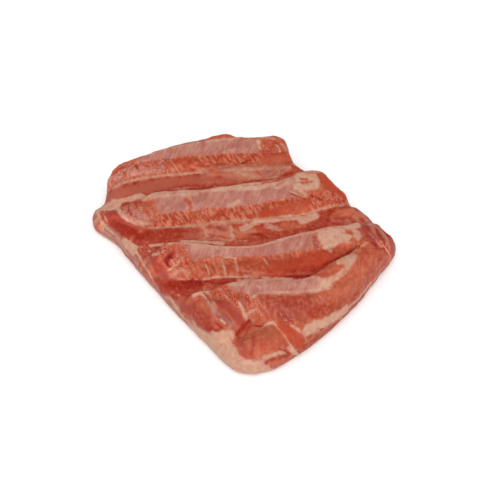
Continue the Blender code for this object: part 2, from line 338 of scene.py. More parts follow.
# Its rim is drawn down and under in rings, each with its scale and its height, and the
# underside is closed flat.
SKIRT = ((1.0, 5.2), (0.999, 4.3), (0.996, 3.4), (0.991, 2.5), (0.985, 1.7), (0.976, 0.9),
         (0.966, 0.3), (FOOT_SCALE, 0.0))
bpy.ops.object.mode_set(mode="EDIT")
bpy.ops.mesh.select_mode(type="EDGE")
bpy.ops.mesh.select_all(action="DESELECT")
bpy.ops.mesh.select_non_manifold()
last_scale, last_height = 1.0, RIM_HEIGHT
for scale, height in SKIRT:
    step_down = (0, 0, (height - last_height) * MM)
    bpy.ops.mesh.extrude_edges_move(TRANSFORM_OT_translate={"value": step_down})
    bpy.ops.transform.resize(value=(scale / last_scale, scale / last_scale, 1),
                             center_override=(0, 0, 0))
    last_scale, last_height = scale, height
bpy.ops.mesh.edge_face_add()
bpy.ops.mesh.quads_convert_to_tris()
bpy.ops.mesh.select_all(action="SELECT")
bpy.ops.mesh.normals_make_consistent(inside=False)
bpy.ops.object.mode_set(mode="OBJECT")

# The surface of the slab, as arrays: where each point is, which way it faces, and how
# far it lies behind each of the lines along the ridges.
points = len(slab.data.vertices)
place, normal = np.zeros(points * 3), np.zeros(points * 3)
slab.data.vertices.foreach_get("co", place)
slab.data.vertex_normals.foreach_get("vector", normal)
place, normal = place.reshape(-1, 3) / MM, normal.reshape(-1, 3)
x, y, z = place.T

on_top = top.shape[0] * top.shape[1]
steps_back = np.linalg.norm(np.diff(top, axis=1), axis=2)
path = np.concatenate([np.zeros((top.shape[0], 1)), np.cumsum(steps_back, axis=1)], axis=1)
line_rows = dict(zip(LINES, np.cumsum(ROWS)))
REACH = 200                      # farther, over the surface, than any two points of the top lie
BELOW_RIM = -999.0               # stands for a point below the rim, which is behind no line


def behind(line):
    """How far each point lies behind a line along a ridge, in mm over the surface."""
    gap = np.full(points, BELOW_RIM)
    gap[:on_top] = (path - path[:, line_rows[line]][:, None]).T.ravel()
    return gap


def grain(points, seed):
    """Uneven noise between about -1 and 1, one lump to a unit; the large primes mix the cells."""
    cell = np.floor(points).astype(np.int64)
    inside = eased(points - cell)
    total = 0
    for corner in range(8):
        step = np.array([corner & 1, corner >> 1 & 1, corner >> 2 & 1])
        i, j, k = (cell + step).T
        n = i * 73856093 ^ j * 19349663 ^ k * 83492791 ^ seed * 52711
        n = (n ^ n >> 13) * 1274126177 & 0x7FFFFFFF
        value = ((n ^ n >> 16) & 0xFFFF) / 32767.5 - 1
        total = total + value * np.prod(np.where(step, inside, 1 - inside), axis=1)
    return total


# Lean, skin and fat. The lean is painted on the surface in broad strokes, then the skin
# on the ridges, then the fat, in colours as they look under the lamps.
LAMPLIGHT = 1.37                 # how bright a level white surface is under the lamps
GLOSS = 0.006                    # what the moist surface's own shine adds to every colour
DARKEST = 0.004                  # no paint is darker than this


def paint_of(red, green, blue):
    """The paint that looks like this colour, 0 to 255, once it is lit and moist."""
    shades = np.array([red, green, blue]) / 255
    seen = np.where(shades < 0.04045, shades / 12.92, ((shades + 0.055) / 1.055) ** 2.4)
    return np.maximum(seen / LAMPLIGHT - GLOSS, DARKEST)


LEAN = {
    "orange": paint_of(192, 93, 66),
    "rust": paint_of(184, 77, 54),
    "red": paint_of(172, 66, 52),
    "deep": paint_of(156, 48, 34),
    "dark": paint_of(140, 28, 20),
    "vivid": paint_of(178, 58, 26),
    "brick": paint_of(168, 70, 50),
    "pink": paint_of(178, 84, 70),
    "salmon": paint_of(197, 104, 76),
    "peach": paint_of(200, 128, 102),
    "brown": paint_of(180, 96, 78),
    "mauve": paint_of(188, 124, 112),
    "rose": paint_of(170, 70, 58),
    "plum": paint_of(168, 82, 76),
}
CALM = ("deep", "dark", "vivid", "brown", "rust", "rose")  # the smooth ones, little mottled
TORN_FLECKS = 0.6                # how flecked torn lean is

lean = np.tile(LEAN["red"], (points, 1))
skin, fat, flecks, torn, calm, lift = (np.zeros(points) for _ in range(6))


def lay_lean(share, tint):
    """Lays lean of one tint, over whatever is there."""
    global lean, skin, fat, flecks, torn, calm
    lean = lean + (LEAN[tint] - lean) * share[:, None]
    skin, fat, flecks, torn = (layer * (1 - share) for layer in (skin, fat, flecks, torn))
    calm = calm + ((tint in CALM) - calm) * share


def lay_torn(share, tint):
    """Lays lean that is torn to crumbs."""
    global flecks, torn
    lay_lean(share, tint)
    flecks, torn = np.maximum(flecks, TORN_FLECKS * share), np.maximum(torn, share)


def lay_skin(share, much=1.0):
    """Lays the grey skin of the ridges, so thick."""
    global skin, fat
    skin, fat = np.maximum(skin, much * share), fat * (1 - share)


def lay_fat(share, much=1.0):
    """Lays fat, so thick."""
    global fat
    fat = np.maximum(fat, much * share)


LAY = {"lean": lay_lean, "torn": lay_torn, "skin": lay_skin, "fat": lay_fat}


def between(value, low, high, edge):
    """1 from low to high, falling to 0 over this edge on both sides."""
    return eased((value - low) / edge + 0.5) * eased((high - value) / edge + 0.5)


ragged = grain(place / 2.2, 1) + 0.5 * grain(place / 1.1, 2)     # ragged edges, 1 to 2 mm
broad = grain(place / 9, 3) + 0.5 * grain(place / 4, 4)          # broad patches, 4 to 9 mm

# The cut sides: lean over the pale fat under the rind, with a thread of fat between, and
# the rind's own fat underneath.
RIND_FAT_TOP = 3.4               # how high the fat under the rind reaches,
RIND_FAT_DROP = 2.2              # how much less it does on the right,
FAT_THREAD = (7.2, 8.6)          # and between which heights the thread runs
FRONT_CORNER = (-18, -76)        # round this place the sides are all fat,
CORNER_FAT_REACH = 46            # as far as this,
CORNER_FAT_EDGE = 14             # with an edge so wide

ring = closed_curve(OUTLINE, CURVE_STEPS)
to_rim = rim_gap(place[:, :2] + PLAN_MIDDLE, np.concatenate([ring, ring[:1]]))
facing_right = eased(normal[:, 0] / 0.5)
side = eased((0.75 - normal[:, 2]) / 0.4) * eased((5 - to_rim) / 3)
layer = z + 1.3 * broad
lay_lean(side, "mauve")
lay_lean(side * facing_right, "brick")
lay_fat(side * between(layer, -REACH, RIND_FAT_TOP - RIND_FAT_DROP * facing_right, 1.6), 0.9)
lay_fat(side * between(layer, *FAT_THREAD, 1.2), 0.7)
corner_gap = np.hypot(x - FRONT_CORNER[0], y - FRONT_CORNER[1])
at_front_corner = eased((CORNER_FAT_REACH - corner_gap) / CORNER_FAT_EDGE)
lay_fat(side * at_front_corner * (1 - facing_right), 0.95)
lay_fat(eased((-0.5 - normal[:, 2]) / 0.4), 0.95)

# The wide front slope and the solid right end are salmon.
front_slope = between(behind("fourth brink"), -REACH, 0, 4) * (z > RIM_HEIGHT)
lay_lean(front_slope * (1 - 0.7 * side), "salmon")
lay_lean(shelf_share(x, y) * (1 - 0.5 * side), "salmon")

# Each ridge: a cut wall in orange, skin on the top and threads of fat along its foot and
# back. For each, where its skin begins and ends and how thick it is, how flecked its wall
# is, how far the bed climbs up it, how fat its foot is, and how much painted fill light
# brightens its wall, where the lamps reach less.
RIDGE_PAINT = {
    "first": dict(skin_span=(-50, 18), skin=1, flecks=1, foot_fat=0.7, brighter=0.36,
                  climb=0.3 + 2.6 * eased((x + 20) / 20)),
    "second": dict(skin_span=(-46, 36), skin=1, flecks=1, foot_fat=0.7, brighter=0.24,
                   climb=0.2 + 2.2 * eased((35 - x) / 25)),
    "third": dict(skin_span=(-36, 38), skin=0.8, flecks=0.55,
                  foot_fat=0.7 * (1 - eased((x + 2) / 6)),
                  brighter=0.14 + 0.3 * eased((x - 15) / 30),
                  climb=-2.5 * eased((x + 5) / 15) * eased((46 - x) / 10)),
    "fourth": dict(skin_span=(-16, 36), skin=1),
}
FIRST_TOP = 11                   # how wide the first ridge's top is, which runs into the rim
BRINK_WANDER, BACK_WANDER = 0.7, 0.6     # how far the edges of a top wander,
GROOVE_BITE = 0.9                # and how far the grooves down the wall bite into the front one
down_wall = grain(np.c_[(x + 0.4 * z) / 1.6, y / 9, z / 6], 5)
# Painted fill light: the paint low in the beds, and on the cut walls below, is made brighter where
# the lamps reach less.
brighter = 0.15 * eased((19 - z) / 6) * eased((to_rim - 2) / 5)
for name, paint in RIDGE_PAINT.items():
    brink = behind(name + " brink") + BRINK_WANDER * ragged + GROOVE_BITE * down_wall
    if name == "first":
        back = brink - FIRST_TOP
    else:
        back = behind(name + " back") + BACK_WANDER * ragged
    ends = between(x + 3 * broad, *paint["skin_span"], 6)
    lay_lean(between(brink, 0, REACH, 1.6) * (back < 3), "orange")
    lay_skin(between(brink, 0, REACH, 1.8) * eased((1 - back) / 2) * ends, paint["skin"])
    if name != "first":
        lay_fat(between(back, -1.8, 1.2, 1.8), 0.65)
    lay_fat(between(brink, 0.5, 1.8, 1.4) * ends, 0.2)
    if name != "fourth":
        foot = behind(name + " foot") - paint["climb"]
        wall = between(brink, -REACH, 0, 1.6) * (foot > -0.5)
        lay_lean(wall, "orange")
        flecks = np.maximum(flecks, wall * paint["flecks"])
        # painted fill light on the lower part of the cut wall
        brighter = (brighter
                    + paint["brighter"] * wall * eased(foot / 2.5) * eased(0.3 - brink / 2))
        lay_fat(between(foot + 0.4 * ragged, -1.4, 0.8, 1.5), paint["foot_fat"])

# The right corner is fanned out in thin leaves of muscle, which run forward from the edge.
LEAF_COSINE, LEAF_SINE = 0.93, 0.37      # of the angle between the leaves and the Y axis
LEAF_WIDTH, LEAF_LENGTH, LEAF_DEPTH = 2.1, 18, 14
at_corner = eased((x - 56 + 0.25 * y) / 6) * between(y, -25, 22, 8)
leaves = grain(np.c_[(LEAF_COSINE * x + LEAF_SINE * y) / LEAF_WIDTH,
                     (LEAF_COSINE * y - LEAF_SINE * x) / LEAF_LENGTH, z / LEAF_DEPTH], 9)
lay_lean(at_corner, "rose")
lay_lean(0.8 * at_corner * eased((leaves - 0.1) / 0.3), "peach")

# Strokes of the brush, from the back to the front, each over those before it: what is
# laid and in which tint or how thick, half its width, how soft its edge is, how far it
# stands out, and the points on the surface that it runs through.
STROKES = {
    # The first ridge: its torn left end, its cut wall and its top.
    "torn left end of the first ridge": ("torn", "mauve", 5, 2.5, 0, [
        (-66.5, 60.1, 16.5), (-61.4, 62.3, 19.1), (-55.4, 64.1, 18.8), (-48.9, 65.1, 19),
        (-41.3, 64.9, 19.4)]),
    "pale fibres over it": ("fat", 0.4, 4, 3, 0, [
        (-63.6, 61.7, 20.9), (-56.7, 63.6, 17.8), (-49.7, 64.8, 17.1), (-43.9, 64.6, 16.2)]),
    "grey skin above it": ("skin", 0.8, 1.2, 1.4, 0, [
        (-51.4, 65.4, 24.4), (-45.4, 66.3, 24.9), (-39.6, 66.6, 25.5)]),
    "red spot in the torn end": ("lean", "orange", 0.7, 0.8, -0.1, [
        (-60.4, 62.8, 20.1), (-59.2, 62.6, 16.8)]),
    "red spot at the rim": ("lean", "orange", 0.8, 0.9, -0.1, [
        (-67.1, 59.9, 16.4), (-65.6, 59.6, 14.4)]),
    "orange rim of the torn end": ("lean", "orange", 1.2, 1.4, 0, [
        (-66, 60.9, 21.3), (-63.4, 61.8, 23.1), (-60.4, 62.8, 24)]),
    "dark pit in it": ("lean", "deep", 0.6, 0.7, -0.3, [(-52.8, 64.8, 21.6), (-51.8, 64.8, 19)]),
    "red spot beside the pit": ("lean", "red", 0.9, 1, 0, [
        (-48.2, 65.2, 20.8), (-45.9, 65.2, 19.6)]),
    "bare orange patch on the brink": ("lean", "orange", 1.3, 1, 0, [
        (-43.2, 65.2, 21.9), (-40.7, 64.9, 20.5)]),
    "pale fibre down the face": ("fat", 0.55, 0.4, 0.6, 0.15, [
        (-43.4, 65.2, 22.8), (-41.3, 64.9, 19.4), (-40.7, 64.2, 15.9)]),
    "second fibre down it": ("fat", 0.55, 0.4, 0.6, 0.15, [
        (-38.9, 64.8, 21.5), (-37.1, 64.2, 17.7), (-36.8, 63.5, 15.1)]),
    "third fibre down it": ("fat", 0.6, 0.45, 0.6, 0.15, [
        (-34.8, 64.4, 22), (-32.7, 63.9, 18.5), (-31.8, 63.1, 15.4)]),
    "fourth fibre down it": ("fat", 0.5, 0.4, 0.6, 0.15, [
        (-31.4, 64, 21.7), (-29.8, 63.7, 18.6), (-29.5, 63, 15.9)]),
    "orange cut face": ("lean", "orange", 2.6, 1.6, 0, [
        (-28.5, 63.9, 22.1), (-23.8, 63.7, 21.9), (-19.8, 63.5, 21)]),
    "deep spot on the cut face": ("lean", "rust", 1.1, 1.6, 0, [
        (-22.7, 63.6, 22.1), (-21.6, 63.4, 19)]),
    "pale fibre beside it": ("fat", 0.5, 0.4, 0.6, 0.15, [
        (-20.3, 63.5, 23), (-19, 63.3, 19.3), (-18.6, 62.7, 15.9)]),
    "deep spots along the foot": ("lean", "deep", 0.9, 1.2, 0, [
        (-16.5, 63, 17.6), (-13.6, 62.5, 16.3), (-10.7, 62.3, 16.4)]),
    "deep spot right of them": ("lean", "deep", 1.2, 1.3, 0, [(-6, 62, 17.1), (-2, 61.5, 17.2)]),
    "deep gaps between the flecks": ("lean", "deep", 0.8, 1, -0.1, [
        (2.1, 61.2, 18.4), (4.9, 60.1, 15.7)]),
    "another gap": ("lean", "deep", 0.8, 1, -0.1, [(8.4, 60, 16.8), (11.4, 59.9, 18.8)]),
    "pale knot on the wall": ("fat", 0.7, 0.7, 0.8, 0.2, [(2.4, 61, 17.7), (3.7, 60.3, 15.7)]),
    "lobe behind the first ridge": ("lean", "orange", 1.4, 1, 0.3, [
        (-6.2, 73.9, 27.3), (-0.8, 74.1, 27.4), (6.1, 72.7, 27.1)]),
    "fat along the back of the first ridge": ("fat", 0.75, 1, 1, 0.1, [
        (-10.7, 71.5, 27), (-2.4, 71.6, 27), (5.2, 71.2, 27), (12.9, 71.1, 26.4),
        (18.6, 70, 26.5)]),
    "fat along its left part": ("fat", 0.7, 0.7, 1, 0, [
        (-43.9, 68.6, 26), (-34.4, 69.9, 27.1), (-23.7, 70.7, 27.3), (-14.2, 71.3, 27.1)]),
    "pale streaks over the first ridge": ("fat", 0.5, 1.4, 1.8, 0, [
        (-1.5, 63.3, 25), (2.1, 63.7, 25.3), (5.7, 64, 25.5)]),
    "pale streak right of them": ("fat", 0.5, 0.7, 1, 0, [
        (7.4, 60.7, 22.8), (9.9, 61.3, 24.9), (12.1, 63.6, 25.6)]),
    "pale corner of the first ridge": ("fat", 0.7, 1.6, 1.6, 0, [
        (19.8, 69.9, 26.6), (24.4, 69, 27.2), (28.6, 66.5, 27.2)]),
    "fat patch at its right end": ("fat", 0.85, 1.7, 1.4, 0.1, [
        (19.1, 66.4, 26.6), (19.9, 64.2, 26.1), (20.4, 62.1, 25.5)]),
    "red right end of the first ridge": ("torn", "rust", 3.4, 1.8, 0, [
        (23.1, 62.6, 25.8), (26.8, 63.2, 26.2), (30.6, 61.5, 25.9)]),
    "deeper red under it": ("lean", "red", 1.4, 1.6, 0, [
        (21.3, 59.1, 24.6), (26.4, 58.2, 24.1), (31.6, 57.8, 24)]),
    "its orange face": ("lean", "salmon", 4.6, 2.5, 0, [
        (23.5, 58.2, 18.2), (29.4, 57.7, 18.1), (34.1, 57.4, 18.7)]),
    "its salmon rim": ("lean", "salmon", 1.8, 1.4, 0, [
        (32.9, 61.1, 25.9), (35.4, 58.6, 23.8), (36.7, 57.1, 17.7)]),
    "pale thread over the right end": ("fat", 0.8, 0.6, 0.8, 0.15, [
        (29, 62.5, 26.1), (30.4, 60.3, 25.4), (30.5, 58.2, 24.6)]),
    "second pale thread": ("fat", 0.7, 0.5, 0.7, 0.15, [
        (32, 62.8, 26.4), (33.7, 60.6, 25.7), (34.6, 58, 24.5)]),
    # The first bed.
    "smooth floor of the first bed": ("lean", "brown", 4.5, 2, 0, [
        (-72.6, 51.4, 10), (-65.5, 51.1, 13), (-55.4, 53.6, 13.6), (-45.3, 55.6, 13),
        (-37, 56.7, 12.8)]),
    "floor further on": ("lean", "brown", 3, 2, 0, [
        (-36.9, 57.5, 12.8), (-26.4, 57, 13), (-14.8, 55.7, 13)]),
    "pale floor of the first bed": ("fat", 0.6, 1.2, 1.8, 0, [
        (-30.3, 50.7, 12.5), (-23.9, 50.5, 12.8), (-17.2, 48.5, 13)]),
    "peach floor right of it": ("lean", "peach", 5, 4, 0, [
        (-11, 57.5, 12.9), (-2.3, 56.4, 12.9), (9.1, 54.4, 13.1), (20.8, 53, 13.1),
        (32.1, 53.2, 12.9)]),
    "pale band at the foot of the wall": ("fat", 0.6, 1.2, 1.3, 0, [
        (-67, 57.9, 13.5), (-62.1, 60.1, 13.6), (-55.6, 61.7, 13.1), (-48.5, 62.6, 12.8),
        (-40.9, 62.3, 13), (-33.9, 61.9, 13.2), (-26.3, 61.6, 13.3), (-18.6, 61.5, 13.2)]),
    "pale strip at the foot of the wall": ("fat", 0.65, 1.7, 1.6, 0, [
        (-16.2, 61.7, 13.6), (-3.4, 60.5, 13.6), (7, 59, 13.6), (18.6, 57.3, 13.5),
        (30.3, 55.9, 13.2), (35.6, 55.4, 13.1)]),
    "brown patch in the first bed": ("lean", "brown", 2, 2.2, 0, [
        (-18.4, 55.5, 13), (-11.4, 55.1, 12.9), (-3.5, 53.3, 12.8), (1.5, 51.1, 12.8)]),
    "red streak in it": ("lean", "red", 0.8, 1.2, 0, [(-11.1, 56.7, 12.9), (-5.4, 55.7, 12.9)]),
    "white bead": ("fat", 1, 0.5, 0.7, 0.3, [(-12.3, 60.3, 13), (-11.4, 58.9, 12.9)]),
    "orange stain": ("lean", "salmon", 1.6, 2, 0, [(-9.8, 60.9, 13.1), (-5.4, 59.4, 13)]),
    "tan patch": ("fat", 0.65, 2.4, 2.2, 0.1, [
        (4.4, 57.4, 13.1), (9.9, 55, 13.2), (15.5, 50.6, 13.2)]),
    "brown streak": ("lean", "brown", 0.8, 1, 0, [(16.5, 55.8, 13.2), (18.6, 52.6, 13.1)]),
    "pink skin at the right": ("skin", 0.85, 2.2, 2.4, 0, [
        (20.9, 53.8, 13.2), (26.3, 53.8, 13.1), (32.2, 53.6, 12.9)]),
    "dark streak in it": ("lean", "brown", 0.45, 0.7, -0.1, [
        (23.2, 50.1, 13), (25.9, 52.2, 13), (28.1, 53.9, 13)]),
    "red patch in the first bed": ("lean", "red", 1.4, 1.2, 0, [
        (7.4, 48.4, 13.1), (12.6, 47.4, 14), (17.7, 46.6, 14.2)]),
    "pale thread in the first bed": ("fat", 0.7, 0.6, 0.9, 0.1, [
        (13.7, 50.5, 13.1), (19.4, 49.1, 13.5), (24.8, 49.5, 13), (29.7, 50.4, 12.8)]),
    "groove behind the second ridge": ("lean", "deep", 0.7, 0.9, -0.3, [
        (-24, 49.7, 12.8), (-17.8, 48.4, 13), (-11.3, 48.8, 13)]),
    "groove at its right": ("lean", "red", 0.8, 1, -0.3, [
        (14.5, 30.6, 28), (21.6, 31.9, 27.7), (27.1, 33.6, 27.4), (34.4, 35.4, 27.2)]),
    "red wedge at the end of the first bed": ("lean", "rust", 2.2, 1.6, 0, [
        (30.8, 49.8, 12.8), (35.3, 51.1, 12.7), (40.3, 52.2, 12.8)]),
    "deep heart of the wedge": ("lean", "deep", 0.8, 1.4, 0, [
        (32.1, 50.4, 12.8), (35.8, 51, 12.7)]),
    # The second ridge: the fat along its back, its skin, its right end and its cut wall.
    "fat at the left corner": ("fat", 0.85, 2.6, 1.8, 0.1, [
        (-75.7, 41, 12.9), (-71.7, 41.8, 12.6), (-67.6, 42.7, 12.5), (-64.7, 43.2, 12.6)]),
    "fat band behind the second ridge": ("fat", 1, 2.5, 1.8, 0.1, [
        (-77.3, 42.5, 12.5), (-73.1, 45.2, 12.2), (-68.3, 46.5, 12.5), (-63.6, 46.5, 12.8),
        (-58.5, 47.2, 13.2), (-53.2, 47.8, 13.3), (-48.3, 34.9, 26.7)]),
    "band further on": ("fat", 0.65, 1.4, 1.4, 0.1, [
        (-54.8, 33.4, 24.3), (-48.6, 32.9, 26.4), (-40.7, 32.4, 27.4), (-33, 31.1, 27.6),
        (-23, 30.3, 27.4)]),
    "band over the middle": ("fat", 0.85, 1.7, 1.2, 0.1, [
        (-13.7, 31.9, 27.2), (-4.7, 31.8, 27.1), (4, 29.5, 27.4), (10.6, 28.5, 27.5),
        (16.5, 29.3, 27.6), (22.4, 30.3, 27.4)]),
    "orange patch at its left end": ("lean", "brick", 2.2, 1.4, 0.2, [
        (-64.7, 33.6, 19.5), (-62.1, 43.4, 12.7), (-58.7, 34.7, 22.5), (-55, 31.9, 23.8),
        (-51.6, 28.1, 23.9)]),
    "mottled skin at its left end": ("torn", "brown", 4.2, 2.2, 0, [
        (-61.6, 30.5, 20.1), (-57.3, 28.5, 21.4), (-53.1, 26, 22.3), (-50.6, 24.1, 20.6)]),
    "grey veil over it": ("skin", 0.8, 3.6, 2.4, 0, [
        (-59.7, 28, 19.9), (-55.5, 26, 19.6), (-52.4, 24.4, 18.2)]),
    "red spot in it": ("lean", "red", 0.9, 1, 0, [(-61.2, 31.2, 20.5), (-60.2, 28.8, 20)]),
    "second red spot in it": ("lean", "rust", 1, 1, 0, [(-52.1, 26.4, 22.9), (-51, 24.6, 22.5)]),
    "pale lower edge of it": ("fat", 0.65, 1.8, 1.6, 0, [
        (-64.4, 28.3, 16.9), (-59.6, 26.6, 16), (-54.3, 24.4, 15.7)]),
    "orange streak over the second ridge": ("lean", "orange", 1, 1, -0.1, [
        (-29, 28, 26.8), (-27.7, 26.1, 26.1), (-27, 23.2, 24.9)]),
    "pale edge of that streak": ("fat", 0.5, 0.5, 0.8, 0.1, [
        (-27.3, 28.6, 27), (-25.9, 26.4, 26.2), (-25.3, 23.6, 25)]),
    "pale patch over the second ridge": ("fat", 0.75, 1.6, 1.8, 0, [
        (-6.1, 21, 23.9), (-3.1, 22, 24.4), (-0.1, 22.9, 24.9)]),
    "paler middle of the skin": ("fat", 0.35, 2.4, 3, 0, [
        (-22.6, 23.2, 24.8), (-17.4, 23.8, 24.9)]),
    "paler right part of the skin": ("fat", 0.3, 3, 3, 0, [
        (9.5, 22.4, 25.1), (14.2, 23.4, 25.6), (19.1, 25.1, 26.2)]),
    "tail of the fat patch": ("fat", 0.6, 2.2, 2, 0.1, [
        (22.5, 27.8, 26.9), (28.1, 29.9, 26.9), (34.1, 31.3, 26.8)]),
    "dark streak in the tail": ("lean", "mauve", 0.5, 0.8, 0, [
        (22.7, 28.7, 27.1), (27.2, 31, 27.2)]),
    "fat patch at the right end": ("fat", 1, 3, 2.6, 0.25, [
        (35.6, 32.5, 26.9), (39.8, 33.3, 27), (43.8, 33.2, 26), (46.3, 31.2, 25.1)]),
    "its lower half": ("fat", 1, 2.6, 2.6, 0.25, [
        (34.3, 26.5, 25.9), (38.7, 25.7, 25.5), (42.8, 26, 25.2), (46.7, 27.4, 24.3)]),
    "its tip": ("fat", 0.85, 1.3, 1.2, 0.15, [
        (34.9, 24.2, 25.3), (37.3, 21.8, 24.4), (38.2, 20.6, 23.5)]),
    "pale thread beside the tip": ("fat", 0.8, 0.5, 0.7, 0.15, [
        (29.3, 24.6, 25.6), (33.3, 21.9, 24.7), (37.6, 20.3, 22.3)]),
    "dark thread under it": ("lean", "deep", 0.45, 0.7, -0.2, [
        (29.5, 23, 25.1), (33.6, 20.4, 24.2), (37, 20.1, 21.4)]),
    "salmon edge of the fat patch": ("lean", "salmon", 1, 2, 0, [
        (49.8, 33.7, 24.9), (48.8, 29, 24), (46.5, 24, 23.8)]),
    "red cut in the fat": ("lean", "pink", 0.5, 0.7, -0.2, [(36.6, 31.8, 26.8), (40.4, 31, 26.6)]),
    "orange end of the second ridge": ("lean", "rust", 2.8, 1.6, 0, [
        (49.7, 33, 24.7), (51.1, 29.1, 23.5), (52.6, 25.2, 22.2), (55.4, 23.9, 19)]),
    "redder outer edge of it": ("lean", "rust", 1, 1.4, 0, [
        (54.5, 31, 22.6), (55.5, 26.5, 22), (57.2, 24.3, 19.9)]),
    "orange torn patch": ("torn", "orange", 2.6, 1.8, 0, [
        (40.7, 21, 22.3), (45.6, 22.1, 21), (50.5, 22.8, 18.2)]),
    "dark dot in it": ("lean", "deep", 0.7, 0.8, -0.2, [(40.6, 21.1, 23.3), (41.9, 21.2, 21.8)]),
    "second dark dot": ("lean", "deep", 0.7, 0.8, -0.2, [(45.6, 21.8, 18.9), (46.8, 21.8, 17.8)]),
    "pale crumbs on it": ("fat", 0.55, 0.6, 0.8, 0.25, [
        (51.1, 23.8, 22.3), (52.6, 23.4, 19.2), (53, 23, 16.7)]),
    "more pale crumbs": ("fat", 0.5, 0.6, 0.8, 0.2, [(55.4, 23.9, 19.3), (57.2, 23.8, 16.3)]),
    "deeper wall before the smooth end": ("lean", "rust", 2.4, 2.4, 0, [
        (12.1, 18.3, 16.7), (16.8, 18.6, 16.7), (21.4, 18.9, 16.7)]),
    "smooth end of the wall": ("lean", "orange", 3.8, 2.6, 0, [
        (24.9, 19.5, 18.7), (31.2, 19.1, 17.9), (37.6, 19.4, 17.5)]),
    "red threads in the smooth end": ("lean", "rust", 0.6, 1, 0, [
        (37, 20.1, 22.2), (38.2, 19.8, 18.3), (39.3, 18.6, 14.4)]),
    "deep fibres at its end": ("torn", "deep", 1.5, 1.2, -0.2, [
        (53.5, 22.5, 14.6), (57.2, 23.1, 14.2), (60.1, 22.6, 12.1)]),
    "pale strip under the wall": ("fat", 0.9, 1.5, 1.3, 0.1, [
        (7.3, 16.6, 13.1), (15.2, 16.3, 12.6), (22, 15.8, 12.7), (28.7, 15, 13), (35.1, 15, 13.2)]),
    "pale strip further right": ("fat", 0.6, 0.9, 1.2, 0.1, [
        (39.7, 17.7, 13.2), (44.7, 19.4, 13.3), (50.9, 20.8, 12.8), (60.6, 21.8, 11.2)]),
    # The left corner: the oval muscle and the edge below it.
    "pink rim of the left corner": ("lean", "mauve", 1.6, 1.4, 0, [
        (-80.3, 39.4, 11.4), (-79.1, 41.9, 11.9), (-77.2, 43.9, 11.9)]),
    "pale rim inside it": ("fat", 0.85, 1.2, 1.4, 0.1, [
        (-78, 41.8, 12.5), (-77.5, 36.9, 13.4), (-76.6, 33.3, 12.1), (-74.3, 29.4, 10.7)]),
    "oval muscle": ("lean", "rose", 4.6, 2, 0.3, [
        (-71.8, 31.8, 16.7), (-67.9, 28.1, 15.7), (-63.5, 22.9, 14.6)]),
    "deep heart of the oval muscle": ("lean", "deep", 2, 3.4, 0, [
        (-69.6, 28.2, 15.2), (-66.1, 24.4, 15.2), (-63.2, 21.1, 14.4)]),
    "its brighter head": ("lean", "rose", 1.4, 1.4, 0.1, [
        (-73.7, 37.3, 15.1), (-71, 33.8, 17.3), (-68.6, 30.2, 17.7)]),
    "fat above the oval muscle": ("fat", 0.85, 1.3, 1.4, 0, [
        (-66.8, 35.8, 18.2), (-65.1, 30.5, 19.2), (-62.2, 27.6, 16.7), (-58.2, 25.3, 14.3)]),
    "red strip in the rim": ("lean", "red", 0.8, 0.9, 0, [
        (-75.8, 39.8, 13.3), (-75.7, 34.3, 14.1)]),
    "pale thread on the oval muscle": ("fat", 0.75, 0.6, 0.8, 0.1, [
        (-73.8, 39.6, 13.5), (-74.3, 33.7, 15.2), (-73.6, 30.9, 13.9)]),
    "its tail": ("lean", "deep", 2, 1.6, 0.1, [
        (-66.5, 21.3, 14.1), (-63.3, 20, 14.3), (-60.5, 20.9, 13.6)]),
    "pink edge of the tail": ("lean", "salmon", 0.7, 0.9, 0.15, [
        (-62.7, 16.1, 13.5), (-59.2, 18.1, 13.1), (-56.9, 21.1, 12.8), (-55.8, 22.8, 12.8)]),
    "pink thread over the tail": ("lean", "pink", 0.7, 0.9, 0, [
        (-62.5, 26.6, 15), (-58.3, 24.7, 13.3), (-55.2, 23, 12.8)]),
    "pale line inside the left edge": ("fat", 0.9, 0.9, 1, 0.15, [
        (-75.3, 30.9, 11), (-71.9, 26, 10.1), (-68.2, 19.5, 10.2)]),
    "fat spot below the oval muscle": ("fat", 1, 2.7, 1.4, 0.2, [
        (-65.6, 16.2, 11.6), (-63.3, 12.5, 11.8), (-61.6, 8.4, 11.8)]),
    "pale line below it": ("fat", 0.85, 0.9, 1.1, 0.15, [
        (-60.6, 7.1, 12.2), (-58.2, -0.2, 12.3), (-55.9, -7.4, 11.6), (-53.1, -14, 9.5),
        (-50.2, -20.5, 8.8)]),
    "pink strip along the left edge": ("lean", "pink", 1.4, 1.2, 0, [
        (-70.1, 23.6, 1.6), (-66, 13.4, 3.9), (-62.4, 4.8, 5.9)]),
    "pale outer edge": ("fat", 0.75, 1.1, 1.2, 0.1, [
        (-62.5, 6.3, 2.4), (-59.4, -0.7, 2.4), (-56, -8.3, 2.7)]),
    "brown strip between": ("lean", "brown", 0.6, 0.9, 0, [
        (-59.4, -0.1, 10), (-56.6, -7.4, 9.2), (-53.7, -14, 7.1)]),
    # The second bed.
    "deep red floor of the second bed": ("lean", "deep", 3.4, 1.8, 0, [
        (-57.6, 17.3, 12.8), (-51.4, 17.8, 12.6), (-42.6, 16.5, 12.7), (-33.8, 15, 12.9)]),
    "its lighter middle": ("lean", "brick", 1.6, 2.6, 0, [
        (-49.8, 17.5, 12.6), (-42.6, 16.5, 12.7), (-35, 14.9, 12.9)]),
    "its brighter left end": ("lean", "red", 1.6, 2, 0, [
        (-58.6, 13.7, 12.8), (-55.5, 12.1, 12.7), (-52.2, 11.8, 12.7)]),
    "brown floor": ("lean", "brown", 2.8, 2.4, 0, [
        (-31.3, 12.9, 13), (-26.3, 12.7, 13.1), (-21.9, 11.8, 13.1)]),
    "mottled peach floor": ("lean", "peach", 4.2, 3, 0, [
        (-19.9, 13.8, 13.1), (-14.4, 13.4, 13.2), (-8.9, 12.2, 13.3), (-3, 10.3, 13.4)]),
    "crumbs on the mottled floor": ("torn", "peach", 2.2, 3, 0, [
        (-18.8, 13.5, 13.1), (-14.4, 13, 13.2), (-8.9, 12.2, 13.3)]),
